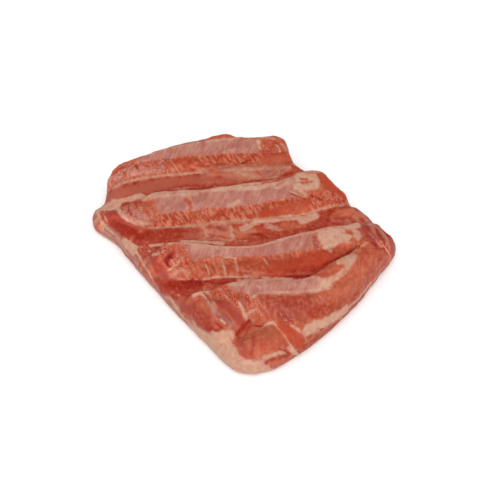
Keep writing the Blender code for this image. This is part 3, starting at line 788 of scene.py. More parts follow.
    "mauve blotch in the second bed": ("lean", "plum", 1.5, 1.6, 0, [
        (-13.9, 16.1, 13.1), (-11.4, 14.4, 13.2), (-10, 12.5, 13.3)]),
    "small mauve blotch": ("lean", "plum", 0.8, 1.2, 0, [(-19.2, 11.3, 13.1), (-16.6, 10, 13.2)]),
    "pale blotch": ("fat", 0.6, 1.2, 1.4, 0, [
        (-21.1, 17.2, 13), (-20.5, 13.9, 13.1), (-20.4, 10.8, 13.1)]),
    "pale upright streak": ("fat", 0.75, 1.2, 1.4, 0.1, [
        (-6, 15.8, 13.1), (-6.3, 10.9, 13.4), (-6.6, 6.4, 13.4)]),
    "pale strip on the floor": ("fat", 0.5, 0.8, 1.2, 0, [
        (-25.8, 9.1, 13.1), (-19.2, 8.3, 13.1), (-12.6, 7.3, 13.2)]),
    "pale strip under the second ridge": ("fat", 0.55, 1.1, 1.4, 0, [
        (-25.3, 18.8, 14.5), (-17.4, 18.4, 14.3), (-8.5, 17.9, 13.8), (2.7, 16.8, 13.2)]),
    "dark spot in the streaks": ("lean", "brown", 0.7, 0.9, -0.1, [
        (-5.7, 11.2, 13.4), (-4.1, 8.9, 13.5)]),
    "red lump": ("lean", "rust", 1.1, 1.2, 0.1, [(-2.2, 14.7, 13.1), (-1.5, 10.9, 13.3)]),
    "peach floor beside it": ("lean", "peach", 1.8, 1.4, 0, [
        (-0.3, 9.8, 13.3), (3.7, 9.7, 13.2), (7.1, 10, 12.9)]),
    "tan lump": ("fat", 0.9, 2.4, 1.8, 0.1, [
        (0.6, 13, 13.1), (3.9, 14.2, 12.8), (7.5, 14.9, 12.6)]),
    "salmon lump": ("lean", "salmon", 1.8, 1.8, 0.1, [(-2.3, 7.8, 13.5), (0.7, 5.8, 13.8)]),
    "deep red in the second bed": ("lean", "deep", 1.6, 1.4, -0.1, [
        (7, 6.6, 13.7), (9.6, 2.6, 15), (13.2, 0.7, 14.3)]),
    "rust streaks over it": ("lean", "rust", 1.8, 1.4, 0.1, [
        (8.1, 12, 12.7), (12, 8.5, 12.7), (15.5, 3.6, 13.5)]),
    "orange streak in it": ("lean", "orange", 0.6, 0.8, 0.1, [
        (6.3, 11.4, 12.8), (10, 7.4, 13.1), (13.6, 2.6, 14.2)]),
    "pale lump right of it": ("fat", 0.7, 2.2, 2, 0.2, [
        (14.1, 13.4, 12.4), (17.1, 11.3, 12.4), (20, 8.8, 12.4)]),
    "salmon in the second bed": ("lean", "salmon", 3, 2, 0.1, [
        (23.2, 10.4, 12.5), (27.6, 9.7, 12.8), (32.2, 9.7, 13.2)]),
    "red under it": ("lean", "red", 1, 1.2, -0.1, [
        (21.8, 6.4, 12.5), (26.2, 5.8, 12.7), (32.6, 6.5, 13.2)]),
    "orange muscle over the groove": ("lean", "orange", 1, 1.2, 0, [
        (17.8, 6.4, 12.6), (21.5, 5.3, 12.6)]),
    "grey lump of fat": ("fat", 1, 3.2, 1.6, 0.25, [
        (34.5, 12.3, 13.3), (38, 12.7, 13.3), (41.2, 14.2, 13.2)]),
    "pink beside it": ("lean", "pink", 1.4, 1.4, 0, [(38.3, 9, 13.5), (41.4, 9.9, 13.6)]),
    "pale streak above it": ("fat", 0.7, 0.6, 0.8, 0.1, [
        (41, 18.2, 13.2), (42.9, 16.5, 13), (44.4, 14.1, 13.2)]),
    "red fold": ("lean", "red", 2.4, 1.8, 0.1, [
        (42.1, 8.1, 13.6), (45.4, 9.7, 13.5), (47.8, 12.7, 13.1)]),
    "deep fold": ("lean", "deep", 1.3, 1.2, -0.5, [
        (48.1, 9.2, 13.4), (49.8, 13.7, 12.9), (52.4, 17.1, 12.6)]),
    "brown muscle at its end": ("lean", "salmon", 3.8, 2, 0.3, [
        (54.2, 12.6, 12.8), (58, 14, 12.7), (61.9, 13.2, 12.7)]),
    "dark foot of that muscle": ("lean", "red", 0.9, 1.2, 0, [
        (51.8, 10, 13.1), (56.6, 10.4, 12.6), (61.3, 10.6, 12.3)]),
    "dark thread along the groove": ("lean", "deep", 0.6, 0.8, -0.2, [
        (33.1, 6, 13.2), (38.9, 4.2, 13.6), (45.9, 4.7, 13.6)]),
    "pale rim of the lens": ("fat", 0.7, 0.6, 0.9, 0.1, [
        (-12.8, 6.2, 13.1), (-6.3, 4.5, 13.3), (1.1, 2.2, 14.6)]),
    "fat before the lens": ("fat", 0.85, 1.4, 1.1, 0, [
        (-22.3, 6.4, 13.1), (-17.5, 5, 13), (-12.7, 3.5, 13)]),
    "red lens behind the third ridge": ("lean", "orange", 1.1, 1, -0.2, [
        (-9.8, 3.7, 13.1), (-3.5, 1.6, 13.5), (2.9, -0.5, 14.5), (9.6, -0.6, 14.6),
        (15.5, 0.7, 13.7)]),
    # The third ridge: the fat along its back, its torn left end, its cut wall and its fat patch.
    "pale start behind the third ridge": ("fat", 0.8, 1.3, 1.1, 0.1, [
        (-48.6, 9.5, 12.8), (-45.8, 9.4, 12.8), (-44, -2.9, 26.6)]),
    "fat along its left back": ("fat", 0.9, 1.1, 1, 0.1, [
        (-52.5, 9.5, 12.8), (-46.9, 9.5, 12.8), (-42.4, -2.9, 26.6), (-34.7, 9.2, 13.1),
        (-28.2, 7.8, 13.2), (-21.8, 6.1, 13)]),
    "tan strip beside it": ("fat", 0.5, 1.2, 1.4, 0, [
        (-29.7, -7.9, 25.8), (-22.8, -9.4, 26), (-16.1, -11.2, 26.1)]),
    "smooth muscle under the torn end": ("lean", "rose", 4.4, 2, 0.4, [
        (-52.9, -5.4, 19.5), (-51.1, -10.6, 16.6), (-49.9, -15.8, 12.4), (-49, -20.4, 10.9)]),
    "its redder middle": ("lean", "red", 1.8, 2.4, 0, [
        (-51.6, -10.3, 16.4), (-50.1, -13.8, 13.5), (-49.1, -18.2, 11.7)]),
    # Painted highlight: a lighter salmon streak down the left side of the smooth muscle.
    "painted highlight down its left side": ("lean", "salmon", 1.3, 1.6, 0, [
        (-55, 2.6, 13.5), (-54.3, -6.2, 16.5), (-53, -11.1, 12.8)]),
    "mauve gleam on it": ("lean", "plum", 1.2, 1.6, 0, [(-49.3, -12.7, 15), (-46.4, -14.6, 14.1)]),
    "grey gleam beside it": ("lean", "mauve", 1.2, 1.4, 0.1, [
        (-44.3, -15.2, 13.8), (-41.2, -16.1, 13.4)]),
    "torn left end of the third ridge": ("torn", "rust", 4.4, 2, 0, [
        (-49.5, -5.9, 23.3), (-44.3, -7.8, 25), (-39.2, -9.6, 24.4), (-37.1, -13.7, 22.8)]),
    "red part of it": ("torn", "red", 2, 1.6, 0, [
        (-57.1, 7.6, 12.9), (-52.9, 6.4, 12.9), (-49.4, -5.3, 23.4)]),
    "white specks on it": ("fat", 0.9, 0.5, 0.7, 0.25, [(-59.9, 10.3, 12.8), (-58.6, 9.4, 12.9)]),
    "second white speck": ("fat", 0.9, 0.5, 0.7, 0.25, [(-57.7, 9.7, 12.8), (-56.4, 9, 12.8)]),
    "crumb of fat": ("fat", 0.9, 0.7, 0.8, 0.25, [(-54.1, 5.5, 13), (-52.3, 4.7, 13)]),
    "second crumb": ("fat", 0.9, 0.8, 0.8, 0.25, [(-52.2, -4.4, 20.6), (-49.8, -6.2, 22.9)]),
    "third crumb": ("fat", 0.8, 0.5, 0.7, 0.25, [(-49.3, -4.6, 23.5), (-48.7, -7.7, 23.5)]),
    "fourth crumb": ("fat", 0.8, 0.5, 0.7, 0.25, [(-47.4, -7, 24.5), (-45.7, -6.5, 25.2)]),
    "red gash": ("lean", "deep", 1.2, 1.2, -0.1, [
        (-41.7, -8.4, 24.8), (-44.7, -10.4, 24), (-46, -11.2, 21.2)]),
    "shred at the gash": ("fat", 0.9, 0.5, 0.6, 0.4, [
        (-43.3, -11.5, 23.3), (-41.9, -12.6, 21), (-41.1, -13.4, 18.9)]),
    "second shred": ("fat", 0.9, 0.45, 0.6, 0.4, [
        (-36.9, -12.2, 23.6), (-39.2, -13.2, 22.3), (-40.7, -13.2, 19.9)]),
    "third shred": ("fat", 0.8, 0.5, 0.6, 0.4, [(-43.5, -13.1, 17.5), (-41.5, -12.9, 20.1)]),
    "dark gash": ("lean", "dark", 1.2, 0.9, -0.4, [
        (-43, -10, 24.1), (-45.1, -11, 23.2), (-46, -11.2, 21.2), (-45.2, -12.2, 18.8)]),
    "pale tips": ("fat", 0.9, 0.6, 0.8, 0.4, [(-45.4, -13, 16.7), (-43.8, -13.1, 17.5)]),
    "more pale tips": ("fat", 0.9, 0.7, 0.9, 0.3, [(-42.4, -13.3, 17.9), (-40.8, -14.3, 16.6)]),
    "pale foot of the torn end": ("fat", 0.55, 1.8, 1.8, 0, [
        (-41.4, -14.5, 15.7), (-38.2, -15.1, 16.9), (-35.2, -16.9, 15.5)]),
    "threads down the third wall": ("fat", 0.85, 0.6, 0.8, 0.15, [
        (-25.5, -16.6, 20.5), (-24.4, -17.6, 17.6), (-24.1, -18.8, 15.3)]),
    "thread beside it": ("fat", 0.6, 0.4, 0.7, 0.15, [
        (-21.2, -16.5, 21), (-19.9, -18, 16.7), (-19.4, -19.9, 13.9)]),
    "second thread": ("fat", 0.8, 0.55, 0.7, 0.15, [
        (-16.5, -16.5, 22.4), (-15.7, -17.7, 18), (-15.1, -20.1, 14)]),
    "pale brink": ("fat", 0.8, 0.5, 0.7, 0.1, [
        (-15.3, -15.8, 23.5), (-12.1, -16, 23.4), (-9, -17.1, 22.6)]),
    "third thread": ("fat", 0.85, 0.7, 0.8, 0.15, [
        (-9.3, -17, 22.7), (-8.7, -18, 19.2), (-8.7, -19.6, 15.3)]),
    "smooth orange stretch": ("lean", "orange", 3.6, 1.8, 0, [
        (-5.4, -18.3, 19.7), (-0.7, -19, 19.9), (3.6, -19.5, 20)]),
    "pale thread across": ("fat", 0.5, 0.5, 0.8, 0.1, [(-6.3, -19.9, 15.2), (-2.1, -20.7, 14.8)]),
    "fourth thread": ("fat", 0.85, 0.65, 0.8, 0.15, [
        (5.8, -19.2, 22), (7.3, -20.3, 18.4), (9.1, -22.6, 14.1)]),
    "fifth thread": ("fat", 0.6, 0.4, 0.6, 0.15, [(8.8, -19.4, 22.4), (10.8, -20.3, 19.3)]),
    "sixth thread": ("fat", 0.85, 0.8, 0.8, 0.15, [(11.5, -19.9, 21.2), (13.2, -20.7, 18.5)]),
    "smooth rust wall": ("lean", "rust", 5.4, 2.4, 0, [
        (12, -21.8, 15.8), (18.6, -21.8, 16.1), (25.3, -21.5, 16), (33.2, -20.6, 16.6),
        (41.2, -19.7, 17.2)]),
    "deeper foot of the wall": ("lean", "deep", 1.1, 1.6, 0, [
        (17.2, -23.5, 13.8), (24.9, -23.5, 13.4), (31.7, -22.7, 13.5)]),
    "red end of the third wall": ("lean", "orange", 2.6, 2, 0, [
        (46.8, -18.6, 19.7), (51.9, -18.1, 21), (57.4, -18.3, 22)]),
    "shreds at its right end": ("torn", "plum", 1.4, 1.2, 0, [
        (34.9, -12.6, 24.9), (34.9, -15.4, 23.9), (35.2, -17.9, 22.9)]),
    "fat patch on the third ridge": ("fat", 1, 2.8, 1.6, 0.25, [
        (39.9, -11.5, 25.1), (44.5, -10.7, 25.4), (50.3, -10, 24.6)]),
    "lower part of the fat patch": ("fat", 1, 2.8, 1.5, 0.25, [
        (40.2, -15.2, 23.8), (43.3, -16.2, 23.5), (47.6, -14.4, 23.9), (52.9, -13.4, 22.9)]),
    "its drip": ("fat", 0.9, 1.2, 1, 0.2, [
        (39.1, -17.8, 22.8), (41.2, -18.5, 21.5), (42.6, -18.8, 19.9)]),
    "its grey right part": ("fat", 0.95, 2.6, 1.5, 0.2, [
        (53.9, -6.9, 23.8), (57.7, -5.5, 23.2), (60.4, -5.8, 23.4)]),
    "its right end": ("fat", 0.9, 2.2, 1.4, 0.2, [(57.6, -10.3, 23.1), (58.5, -14.8, 22.9)]),
    "orange stain in it": ("lean", "salmon", 1.1, 1.4, 0, [(53.8, -9.9, 23.5), (56.3, -11.1, 23)]),
    "white crumbs on the brink": ("fat", 0.9, 0.5, 0.7, 0.2, [
        (51.1, -16.5, 22.5), (54.5, -16.4, 22)]),
    # The third bed, and the fold of fat over it.
    "deep pit of the third bed": ("lean", "deep", 3.8, 1.8, 0, [
        (-44.7, -21.3, 12.7), (-38.3, -22.4, 13), (-30.9, -23.5, 13.5)]),
    "dark middle of the pit": ("lean", "dark", 1.7, 2.4, 0, [
        (-38.1, -20.9, 12.9), (-29.6, -22.3, 13.5)]),
    "red front of the pit": ("lean", "red", 1.5, 1.6, 0, [
        (-47.2, -23.6, 11), (-41.2, -27.1, 13.1), (-35.4, -27.9, 13.3)]),
    "white bead in the pit": ("fat", 0.8, 0.4, 0.6, 0.2, [
        (-42.8, -23.5, 12.7), (-41.8, -23.9, 12.8)]),
    "pale bead in front of it": ("fat", 0.8, 0.4, 0.6, 0.2, [
        (-42.9, -27.7, 12.8), (-41.9, -28.5, 13.2)]),
    "dark seam beyond it": ("lean", "deep", 0.9, 1.1, -0.3, [
        (-26.4, -22.3, 13.6), (-21.2, -24, 13.6), (-13.9, -25.3, 13.1)]),
    "brown strip beside the slot": ("lean", "rust", 1, 1.2, 0, [
        (3.9, -23.9, 12.9), (9.2, -24.6, 13.2), (14.1, -25.1, 13.4)]),
    "pale knot at the foot": ("fat", 0.8, 0.7, 0.9, 0.1, [(3.8, -24.5, 13), (7.4, -25.4, 13.2)]),
    # Painted shade: the narrow slot between the third wall and the fold is painted dark where shade
    # falls.
    "painted shade in the slot": ("lean", "dark", 0.9, 0.9, -0.4, [
        (17.1, -26.5, 13.4), (23, -27.4, 13.3), (28.9, -27.9, 13.2)]),
    "shadowed crevice": ("lean", "deep", 0.9, 1.1, -0.3, [
        (31.2, -25.1, 13.1), (37.2, -23, 12.9), (43.1, -21.6, 13.7), (48.3, -20.4, 15.2),
        (53.4, -19.6, 17.2), (57.4, -22.2, 23.5)]),
    "salmon back of the fold": ("lean", "salmon", 2.4, 1.8, 0, [
        (36.2, -36.7, 26.3), (40.1, -36, 26.7), (44.6, -35.6, 26)]),
    "fold of fat": ("fat", 1, 2.6, 1.4, 0.4, [
        (44.2, -32.7, 26.5), (48.5, -30.6, 25.7), (52.8, -29, 24.6)]),
    "its inner edge": ("fat", 1, 2.2, 1.4, 0.3, [
        (46.7, -36.1, 24.9), (50.1, -33.4, 24.9), (52.4, -30.8, 24.7)]),
    "orange heart of the fold": ("lean", "orange", 2, 1.4, 0, [
        (29.4, -38.2, 24.3), (34, -39.1, 25.4), (39.5, -38.5, 25.6), (44.3, -37, 25.3)]),
    "rust middle of it": ("lean", "rust", 0.9, 1.2, 0, [(30.7, -37.5, 24.7), (35, -39.4, 25.4)]),
    "pale fibre in it": ("fat", 0.6, 0.5, 0.8, 0.1, [
        (30.8, -36.9, 24.7), (33.9, -37.3, 25.7), (37, -37.8, 26.1)]),
    "its lower lobe": ("fat", 0.8, 1.9, 1.3, 0.3, [
        (27.6, -39.2, 23.7), (30.9, -41.3, 23.9), (35, -42.3, 23.3), (39.6, -41.2, 23.4),
        (43.8, -39.1, 23.8), (47, -37.3, 23.9)]),
    "grey lip of it": ("fat", 0.75, 1.8, 1.8, 0.2, [
        (29, -42.8, 22.7), (33.1, -44, 22), (36.9, -43.8, 21.7)]),
    # The fourth ridge: its skin, its torn left end and the slope before it.
    "tan left end of the skin": ("fat", 0.65, 2.2, 2.2, 0.1, [
        (-15.9, -34.4, 23.2), (-11.1, -34.6, 23.2), (-5.9, -35.5, 23.2)]),
    "fat line along the back of the fourth ridge": ("fat", 0.85, 1.2, 1.3, 0.1, [
        (-8.3, -24.7, 12.9), (-2.9, -25, 12.8), (7.7, -26.9, 13.2), (18.2, -29, 13.3),
        (26, -39, 23.3)]),
    "skin on the fourth ridge": ("skin", 1, 2.9, 1.8, 0.1, [
        (-5.3, -37.7, 22.7), (0.9, -38.8, 22.7), (10.2, -40.2, 22.6), (19.6, -41.7, 22.3),
        (26.9, -42.6, 22.5)]),
    "lower skin": ("skin", 1, 1.6, 1.6, 0.1, [
        (-7.7, -39.2, 22.2), (-2.7, -40.6, 21.9), (4.7, -41.4, 22)]),
    "pale veil over the skin": ("fat", 0.3, 2.6, 2.4, 0, [
        (-2.2, -38.3, 22.7), (5.1, -39.3, 22.7), (12.9, -40.3, 22.6), (20.7, -41.6, 22.4),
        (26.9, -42.6, 22.5)]),
    "white gleams on the skin": ("fat", 0.8, 0.6, 0.8, 0.1, [
        (-1.6, -38.1, 22.8), (0.2, -39.8, 22.3)]),
    "grey gleam": ("skin", 1, 0.8, 0.8, 0.1, [(1.1, -40.8, 22), (3.6, -41.2, 22)]),
    "fat line along its front": ("fat", 0.8, 0.9, 1, 0.1, [
        (-1.9, -42.3, 21.3), (4.3, -43, 21.5), (11.6, -43.9, 21.4), (17.8, -45.3, 21),
        (23.1, -45.1, 21.1), (29.6, -45.3, 21.1), (35.9, -45.8, 21.1)]),
    "torn left end of the fourth ridge": ("torn", "rust", 4, 2.2, 0, [
        (-25.8, -28.6, 13.4), (-20.8, -38.4, 22.5), (-15, -41.6, 22.5), (-9.8, -44.9, 21.2)]),
    "deep fibres in it": ("torn", "deep", 1.2, 1.4, -0.1, [
        (-16.1, -44.4, 22.5), (-13.9, -46.9, 21.2)]),
    "deep fibres right of them": ("torn", "deep", 1.5, 1.4, -0.1, [
        (-10.6, -43.4, 21.6), (-8.6, -46.6, 20.5)]),
    # Painted highlights: small white specks laid as fat where the moist torn end glints.
    "white specks of painted highlight in it": ("fat", 1, 0.6, 0.8, 0.3, [(-21.6, -36.9, 22.8), (-20.6, -37.4, 22.7)]),
    "white specks of painted highlight left of them": ("fat", 0.9, 0.5, 0.7, 0.3, [
        (-23.6, -37.6, 22.1), (-22.7, -38.3, 22)]),
    "white tips under the skin": ("fat", 1, 1.2, 1.2, 0.3, [
        (-4.8, -43.8, 21.2), (-2.7, -43.5, 21.2), (-2.4, -44.8, 21.1)]),
    "pale tips right of them": ("fat", 0.8, 0.6, 0.8, 0.2, [(-1, -43, 21.2), (1.2, -42.8, 21.3)]),
    "pale thread": ("fat", 0.8, 0.5, 0.7, 0.2, [
        (0.2, -44, 21.2), (1, -46.7, 20.9), (1.4, -48.7, 20.3)]),
    "pale thread left of it": ("fat", 0.7, 0.7, 0.9, 0.2, [
        (-6.8, -40.2, 21.9), (-6.1, -43.5, 21.2), (-5.9, -46.5, 20.6)]),
    "brown muscle under the skin": ("lean", "brick", 4.6, 4, 0, [
        (1.2, -48.1, 20.5), (8.4, -49.4, 20.5), (15.7, -50.2, 20.2), (22, -50.5, 19.9)]),
    "torn face left of it": ("torn", "orange", 3.2, 2.6, 0, [
        (-4.1, -48.4, 20), (-1.6, -51.7, 18.5), (1, -54.7, 17.4)]),
    "red threads in the torn face": ("lean", "red", 0.6, 1, 0, [
        (2.7, -45.8, 21), (3.5, -49.9, 20.1), (3.5, -52.9, 18.8)]),
    "pink part under it": ("lean", "pink", 4, 4, 0, [
        (5.5, -53.4, 18.9), (13.3, -56.1, 19.6), (22.1, -54.9, 18.6)]),
    "brown patch further on": ("lean", "brick", 3.6, 4, 0, [
        (23.9, -56.6, 17.7), (29.5, -55.3, 17.8), (35.4, -53.3, 17.8)]),
    "salmon before the cuts": ("lean", "salmon", 2.6, 3, 0, [
        (30.6, -50.4, 19.9), (36.1, -49.6, 20.2), (41.9, -47.8, 20)]),
    "short pale cut": ("fat", 0.5, 0.4, 0.6, 0.1, [(26.8, -49.2, 20.2), (28.8, -52.5, 19.1)]),
    "second short cut": ("fat", 0.55, 0.4, 0.6, 0.1, [(29.4, -48.5, 20.4), (32.2, -52.7, 18.9)]),
    "third short cut": ("fat", 0.4, 0.35, 0.6, 0.1, [(25.2, -50.4, 19.9), (26.4, -52.5, 19.2)]),
    "salmon of the right end": ("lean", "salmon", 5, 4, 0, [
        (47.1, -44.5, 19.6), (54, -36.3, 20.9), (59.2, -30.6, 22.2)]),
    "plateau behind it": ("lean", "orange", 3, 3, 0, [
        (59, -26.8, 23), (63.6, -26.3, 23), (67.7, -26.8, 17.9)]),
    # The right corner: the leaves of muscle and the red tip.
    "red band along the right corner": ("lean", "rose", 1.6, 1.4, 0, [
        (67.3, 6.9, 12.8), (64.5, -9.8, 23.6), (65.4, -16.8, 23.6), (67.2, -23.2, 23)]),
    "streak behind the right corner": ("fat", 0.4, 0.6, 0.9, 0.15, [
        (63.9, 15.5, 12.8), (66.2, 9.8, 12.9)]),
    "tan leaf over the right corner": ("lean", "peach", 0.9, 0.9, 0.3, [
        (68.4, 11.5, 12.8), (69.7, 6.4, 12.9), (68.1, -7, 22.4), (69.4, -12.9, 22.6)]),
    "red between the leaves": ("lean", "rose", 1.8, 1.2, -0.2, [
        (64, -4.2, 22.6), (63.9, -9.8, 23.7), (64.3, -14.5, 23.8)]),
    "dark line beside the leaf": ("lean", "deep", 0.5, 0.7, -0.5, [
        (67, 8.1, 12.9), (65.3, -6.5, 23.2), (66.4, -12.1, 23.3), (67.5, -17.6, 23.2)]),
    "pale line over the corner": ("lean", "peach", 0.5, 0.6, 0.2, [
        (65.9, -12.9, 23.4), (67.1, -16.8, 23.3)]),
    # Painted highlights: bright pale lines along the edges of the leaves, laid as fat.
    "painted highlight on a leaf edge": ("fat", 0.6, 0.5, 0.7, 0.3, [
        (67.7, -18, 23.2), (68.1, -20.7, 23.3), (68.8, -22.6, 22.3)]),
    "second painted highlight on a leaf edge": ("fat", 0.6, 0.5, 0.7, 0.3, [
        (70, -19.7, 23), (71.5, -21.3, 20.8), (73.1, -21.5, 17.9), (74.6, -21.2, 14.4),
        (75.7, -20.8, 11.6)]),
    "dark red between them": ("lean", "deep", 0.9, 0.9, -0.6, [
        (70.3, -9.4, 22), (70.6, -13.6, 22.4), (70.8, -17.9, 22.9), (72, -20.2, 21.5)]),
    "tan thread beyond it": ("lean", "peach", 0.5, 0.6, 0.2, [
        (73.1, -8.1, 19.7), (73.3, -13.4, 20.8), (73.2, -18.6, 21.6), (73.6, -20.3, 19.3)]),
    "red tip of the corner": ("lean", "vivid", 2.4, 1.4, 0, [
        (72.7, -3.4, 18.7), (75.3, -6.8, 17.8), (76.7, -12.3, 17.8), (77, -16.6, 17),
        (77.1, -18.7, 13.5)]),
    "dark crease under the leaves": ("lean", "deep", 0.6, 0.8, -0.5, [
        (65.3, -20.4, 23.5), (66.6, -23, 23.2), (68.9, -23.3, 21.6), (71.6, -22.2, 19.3)]),
    "pink edge of the tip": ("lean", "pink", 0.7, 0.8, 0.1, [
        (80.3, -13.4, 12.9), (80.3, -15.1, 10.6), (79.4, -16.9, 8.6)]),
    "dark spot there": ("lean", "deep", 0.6, 1, -0.1, [(67.4, -27, 18.2), (68.5, -26.8, 16.1)]),
    "orange spot there": ("lean", "orange", 0.9, 1.2, 0, [
        (72.3, -23.6, 14.2), (74.7, -21.6, 12.3)]),
    # The front right edge.
    "fat strip along the front right edge": ("fat", 1, 2.7, 2.2, 0.2, [
        (18.8, -66, 14.8), (24.9, -62.6, 13.6), (32.2, -59.1, 11.9), (38.5, -55.3, 10.3),
        (43.2, -51.9, 9.3)]),
    "its wide left end": ("fat", 0.75, 1.8, 2, 0.2, [
        (17.5, -67, 14.7), (21.6, -65.4, 12.5), (25.8, -63.5, 11.3)]),
    "thinner further on": ("fat", 0.75, 1.3, 1.3, 0.1, [
        (44.6, -50.8, 8.9), (49.4, -46.8, 8.8), (55.2, -41.8, 8), (61.1, -36, 8.2)]),
    "pale streak at the right edge": ("fat", 0.6, 0.7, 1, 0.15, [
        (62, -35.1, 7.1), (65.8, -31.1, 7.4), (68.8, -27.9, 8.6), (71.9, -24.9, 8.2)]),
    "rust edge below it": ("lean", "brick", 1, 1.2, 0, [
        (17, -70.2, 7.9), (25.7, -65, 6.9), (33.3, -59.9, 6.3), (41.5, -53.5, 4.1),
        (48.6, -47, 2.7), (56.1, -40.6, 3.2)]),
    "pale thread at the wedge": ("fat", 0.6, 0.6, 0.9, 0.1, [
        (16.8, -67.8, 14.1), (18.3, -68.9, 10.2)]),
    # The left flank, and the lobe beside its muscle.
    "smooth muscle on the left flank": ("lean", "rose", 5.4, 2.6, 0.2, [
        (-40.4, -37.1, 15.6), (-36.3, -44.9, 17.3), (-32.2, -51.9, 16.7)]),
    "its deeper middle": ("lean", "red", 2.8, 3, 0, [
        (-37.1, -43.3, 17.3), (-33.7, -48.7, 18.1), (-31.2, -52.7, 17.5)]),
    "its orange top": ("lean", "salmon", 1.8, 2.4, 0, [(-41.8, -31.4, 13.2), (-37.4, -39.6, 21.1)]),
    "dark hollow under it": ("lean", "deep", 1.5, 1.6, -0.1, [
        (-30.6, -55, 15.2), (-28.4, -57.6, 15.4), (-25.5, -58.9, 16.4)]),
    "fat spots at the edge": ("fat", 0.8, 1.2, 1.2, 0.1, [
        (-47.1, -26.2, 9.4), (-45.5, -29.6, 9.3)]),
    "fat edge of the left flank": ("fat", 0.8, 1.1, 1.4, 0.1, [
        (-45.6, -30.1, 8.3), (-42.4, -36.9, 7.3), (-38.6, -43.9, 6.6), (-34.5, -51.4, 7.4)]),
    "pale streak over the muscle": ("fat", 0.85, 1.3, 1.3, 0.2, [
        (-35.1, -39.2, 24.1), (-31.9, -38.7, 24.9), (-30, -39.8, 24.1)]),
    "inner line of it": ("fat", 0.8, 0.6, 0.8, 0.15, [
        (-30.9, -38.7, 24.7), (-29.2, -41, 23.4), (-28.2, -44.5, 23.2)]),
    "outer line of it": ("fat", 0.75, 0.9, 1, 0.15, [
        (-28.1, -37.6, 23.1), (-26, -39.4, 21.5), (-25.7, -43.8, 21.8), (-26.1, -47.5, 22.2)]),
    "mauve line in it": ("lean", "plum", 0.4, 0.6, -0.2, [
        (-29.8, -38.9, 24.2), (-27.9, -41.3, 22.6), (-27.3, -45.8, 22.9)]),
    "grey skin beside the muscle": ("skin", 0.9, 1.7, 1.6, 0.1, [
        (-27.9, -45.8, 23.1), (-26.6, -49.1, 21.9), (-25.4, -52.5, 20)]),
    "torn face beside it": ("torn", "rust", 3.6, 2.4, 0, [
        (-22.3, -40.5, 21.2), (-18.4, -42.8, 22.2), (-14.2, -45.5, 22)]),
    "red lobe": ("lean", "rose", 2.9, 1.8, 0.3, [(-22, -44.8, 20.5), (-18.6, -46.9, 19.8)]),
    "smooth tip of the lobe": ("lean", "rose", 2.5, 1.8, 0.4, [
        (-16.4, -49.2, 18.4), (-14.3, -51.7, 17.2), (-13.9, -54.1, 16)]),
    "dark muscle in front of it": ("lean", "plum", 2.2, 1.8, 0, [
        (-24.2, -51.5, 20.1), (-21.4, -53.5, 17.9), (-18.7, -55.7, 15.8)]),
    "mauve skin in front of it": ("skin", 0.5, 2, 2, 0.1, [
        (-24.1, -51, 20.3), (-21.3, -53, 18), (-18.2, -55.9, 15.5)]),
    "dark threads under it": ("lean", "deep", 1, 1.2, -0.2, [
        (-26.4, -55.3, 18.7), (-24.1, -57.1, 17.2)]),
    "white gleam on it": ("fat", 1, 0.6, 0.7, 0.2, [(-23.6, -53.8, 18.7), (-21.7, -55.4, 17.3)]),
    "pale veil in front of it": ("fat", 0.3, 1.8, 2, 0, [(-20.7, -58, 15.7), (-17.6, -55.6, 15.4)]),
    "pale seam": ("fat", 0.9, 1, 1, 0.2, [
        (-12.7, -46.2, 21.4), (-11.4, -49.1, 19.2), (-10.7, -52.3, 17.2), (-9.9, -53.7, 15.4)]),
    "right arm of the seam": ("fat", 0.7, 0.9, 1.1, 0.2, [
        (-10.1, -52, 17.4), (-7.8, -51, 18.3), (-4.5, -50.3, 19)]),
    "pale floor between": ("fat", 0.6, 1.1, 1.4, 0.1, [(-9.3, -53.4, 15.7), (-6.3, -54.2, 14.8)]),
    # The front corner: the round muscle, the crevice over it and the wedge beside it.
    "pale rim over the round muscle": ("fat", 0.9, 0.9, 1, 0.25, [
        (-3.1, -59.6, 15.3), (0.3, -58.3, 15.4), (3, -58.1, 15.4), (5.2, -60.3, 14.2)]),
    "round muscle": ("lean", "salmon", 6, 2, 0.3, [
        (-9.3, -69.8, 18), (-4.6, -69.7, 18.4), (0.4, -70.7, 16.9)]),
    "its orange middle": ("lean", "orange", 2.4, 2.4, 0, [
        (-5.7, -72.8, 17.6), (-1.8, -73.8, 16.3)]),
    "its pink left side": ("lean", "pink", 2.2, 2.2, 0, [
        (-16.3, -62.4, 12.8), (-15.5, -69.8, 15.3), (-13.4, -75.1, 14.9)]),
    "deep streak on it": ("lean", "red", 0.8, 1.4, -0.1, [
        (-9.4, -67.6, 17.6), (-9.8, -72.5, 17.4), (-11.9, -75.5, 15.1)]),
    "open crevice": ("lean", "red", 1.8, 1, -0.6, [
        (-15.2, -59.4, 12.5), (-12.3, -56.8, 12.8), (-9.3, -54.5, 13.8)]),
    "deep heart of the crevice": ("lean", "deep", 0.7, 1.2, 0, [
        (-13.9, -58, 12.6), (-11.4, -56, 13.1), (-9, -54.4, 14)]),
    "its thin end": ("lean", "deep", 0.7, 0.9, -0.3, [
        (-9.1, -54.9, 13.4), (-5.6, -56.2, 13.1), (-3, -59.1, 15.1)]),
    "seam beside the round muscle": ("fat", 0.9, 1.1, 1.1, 0.2, [
        (5.2, -60.3, 14.2), (7.8, -64.5, 13.5), (9.3, -68.8, 12.2), (10.2, -72.1, 10.4),
        (12.8, -72.7, 5.3)]),
    "wide foot of the seam": ("fat", 0.8, 1.4, 1.4, 0.1, [(8.6, -72, 10.6), (11, -73.4, 7.6)]),
    "wedge of muscle": ("lean", "rust", 3.2, 1.8, 0.3, [
        (7.7, -60.7, 15.8), (10.8, -66.2, 14.4), (14.2, -70.4, 11.4)]),
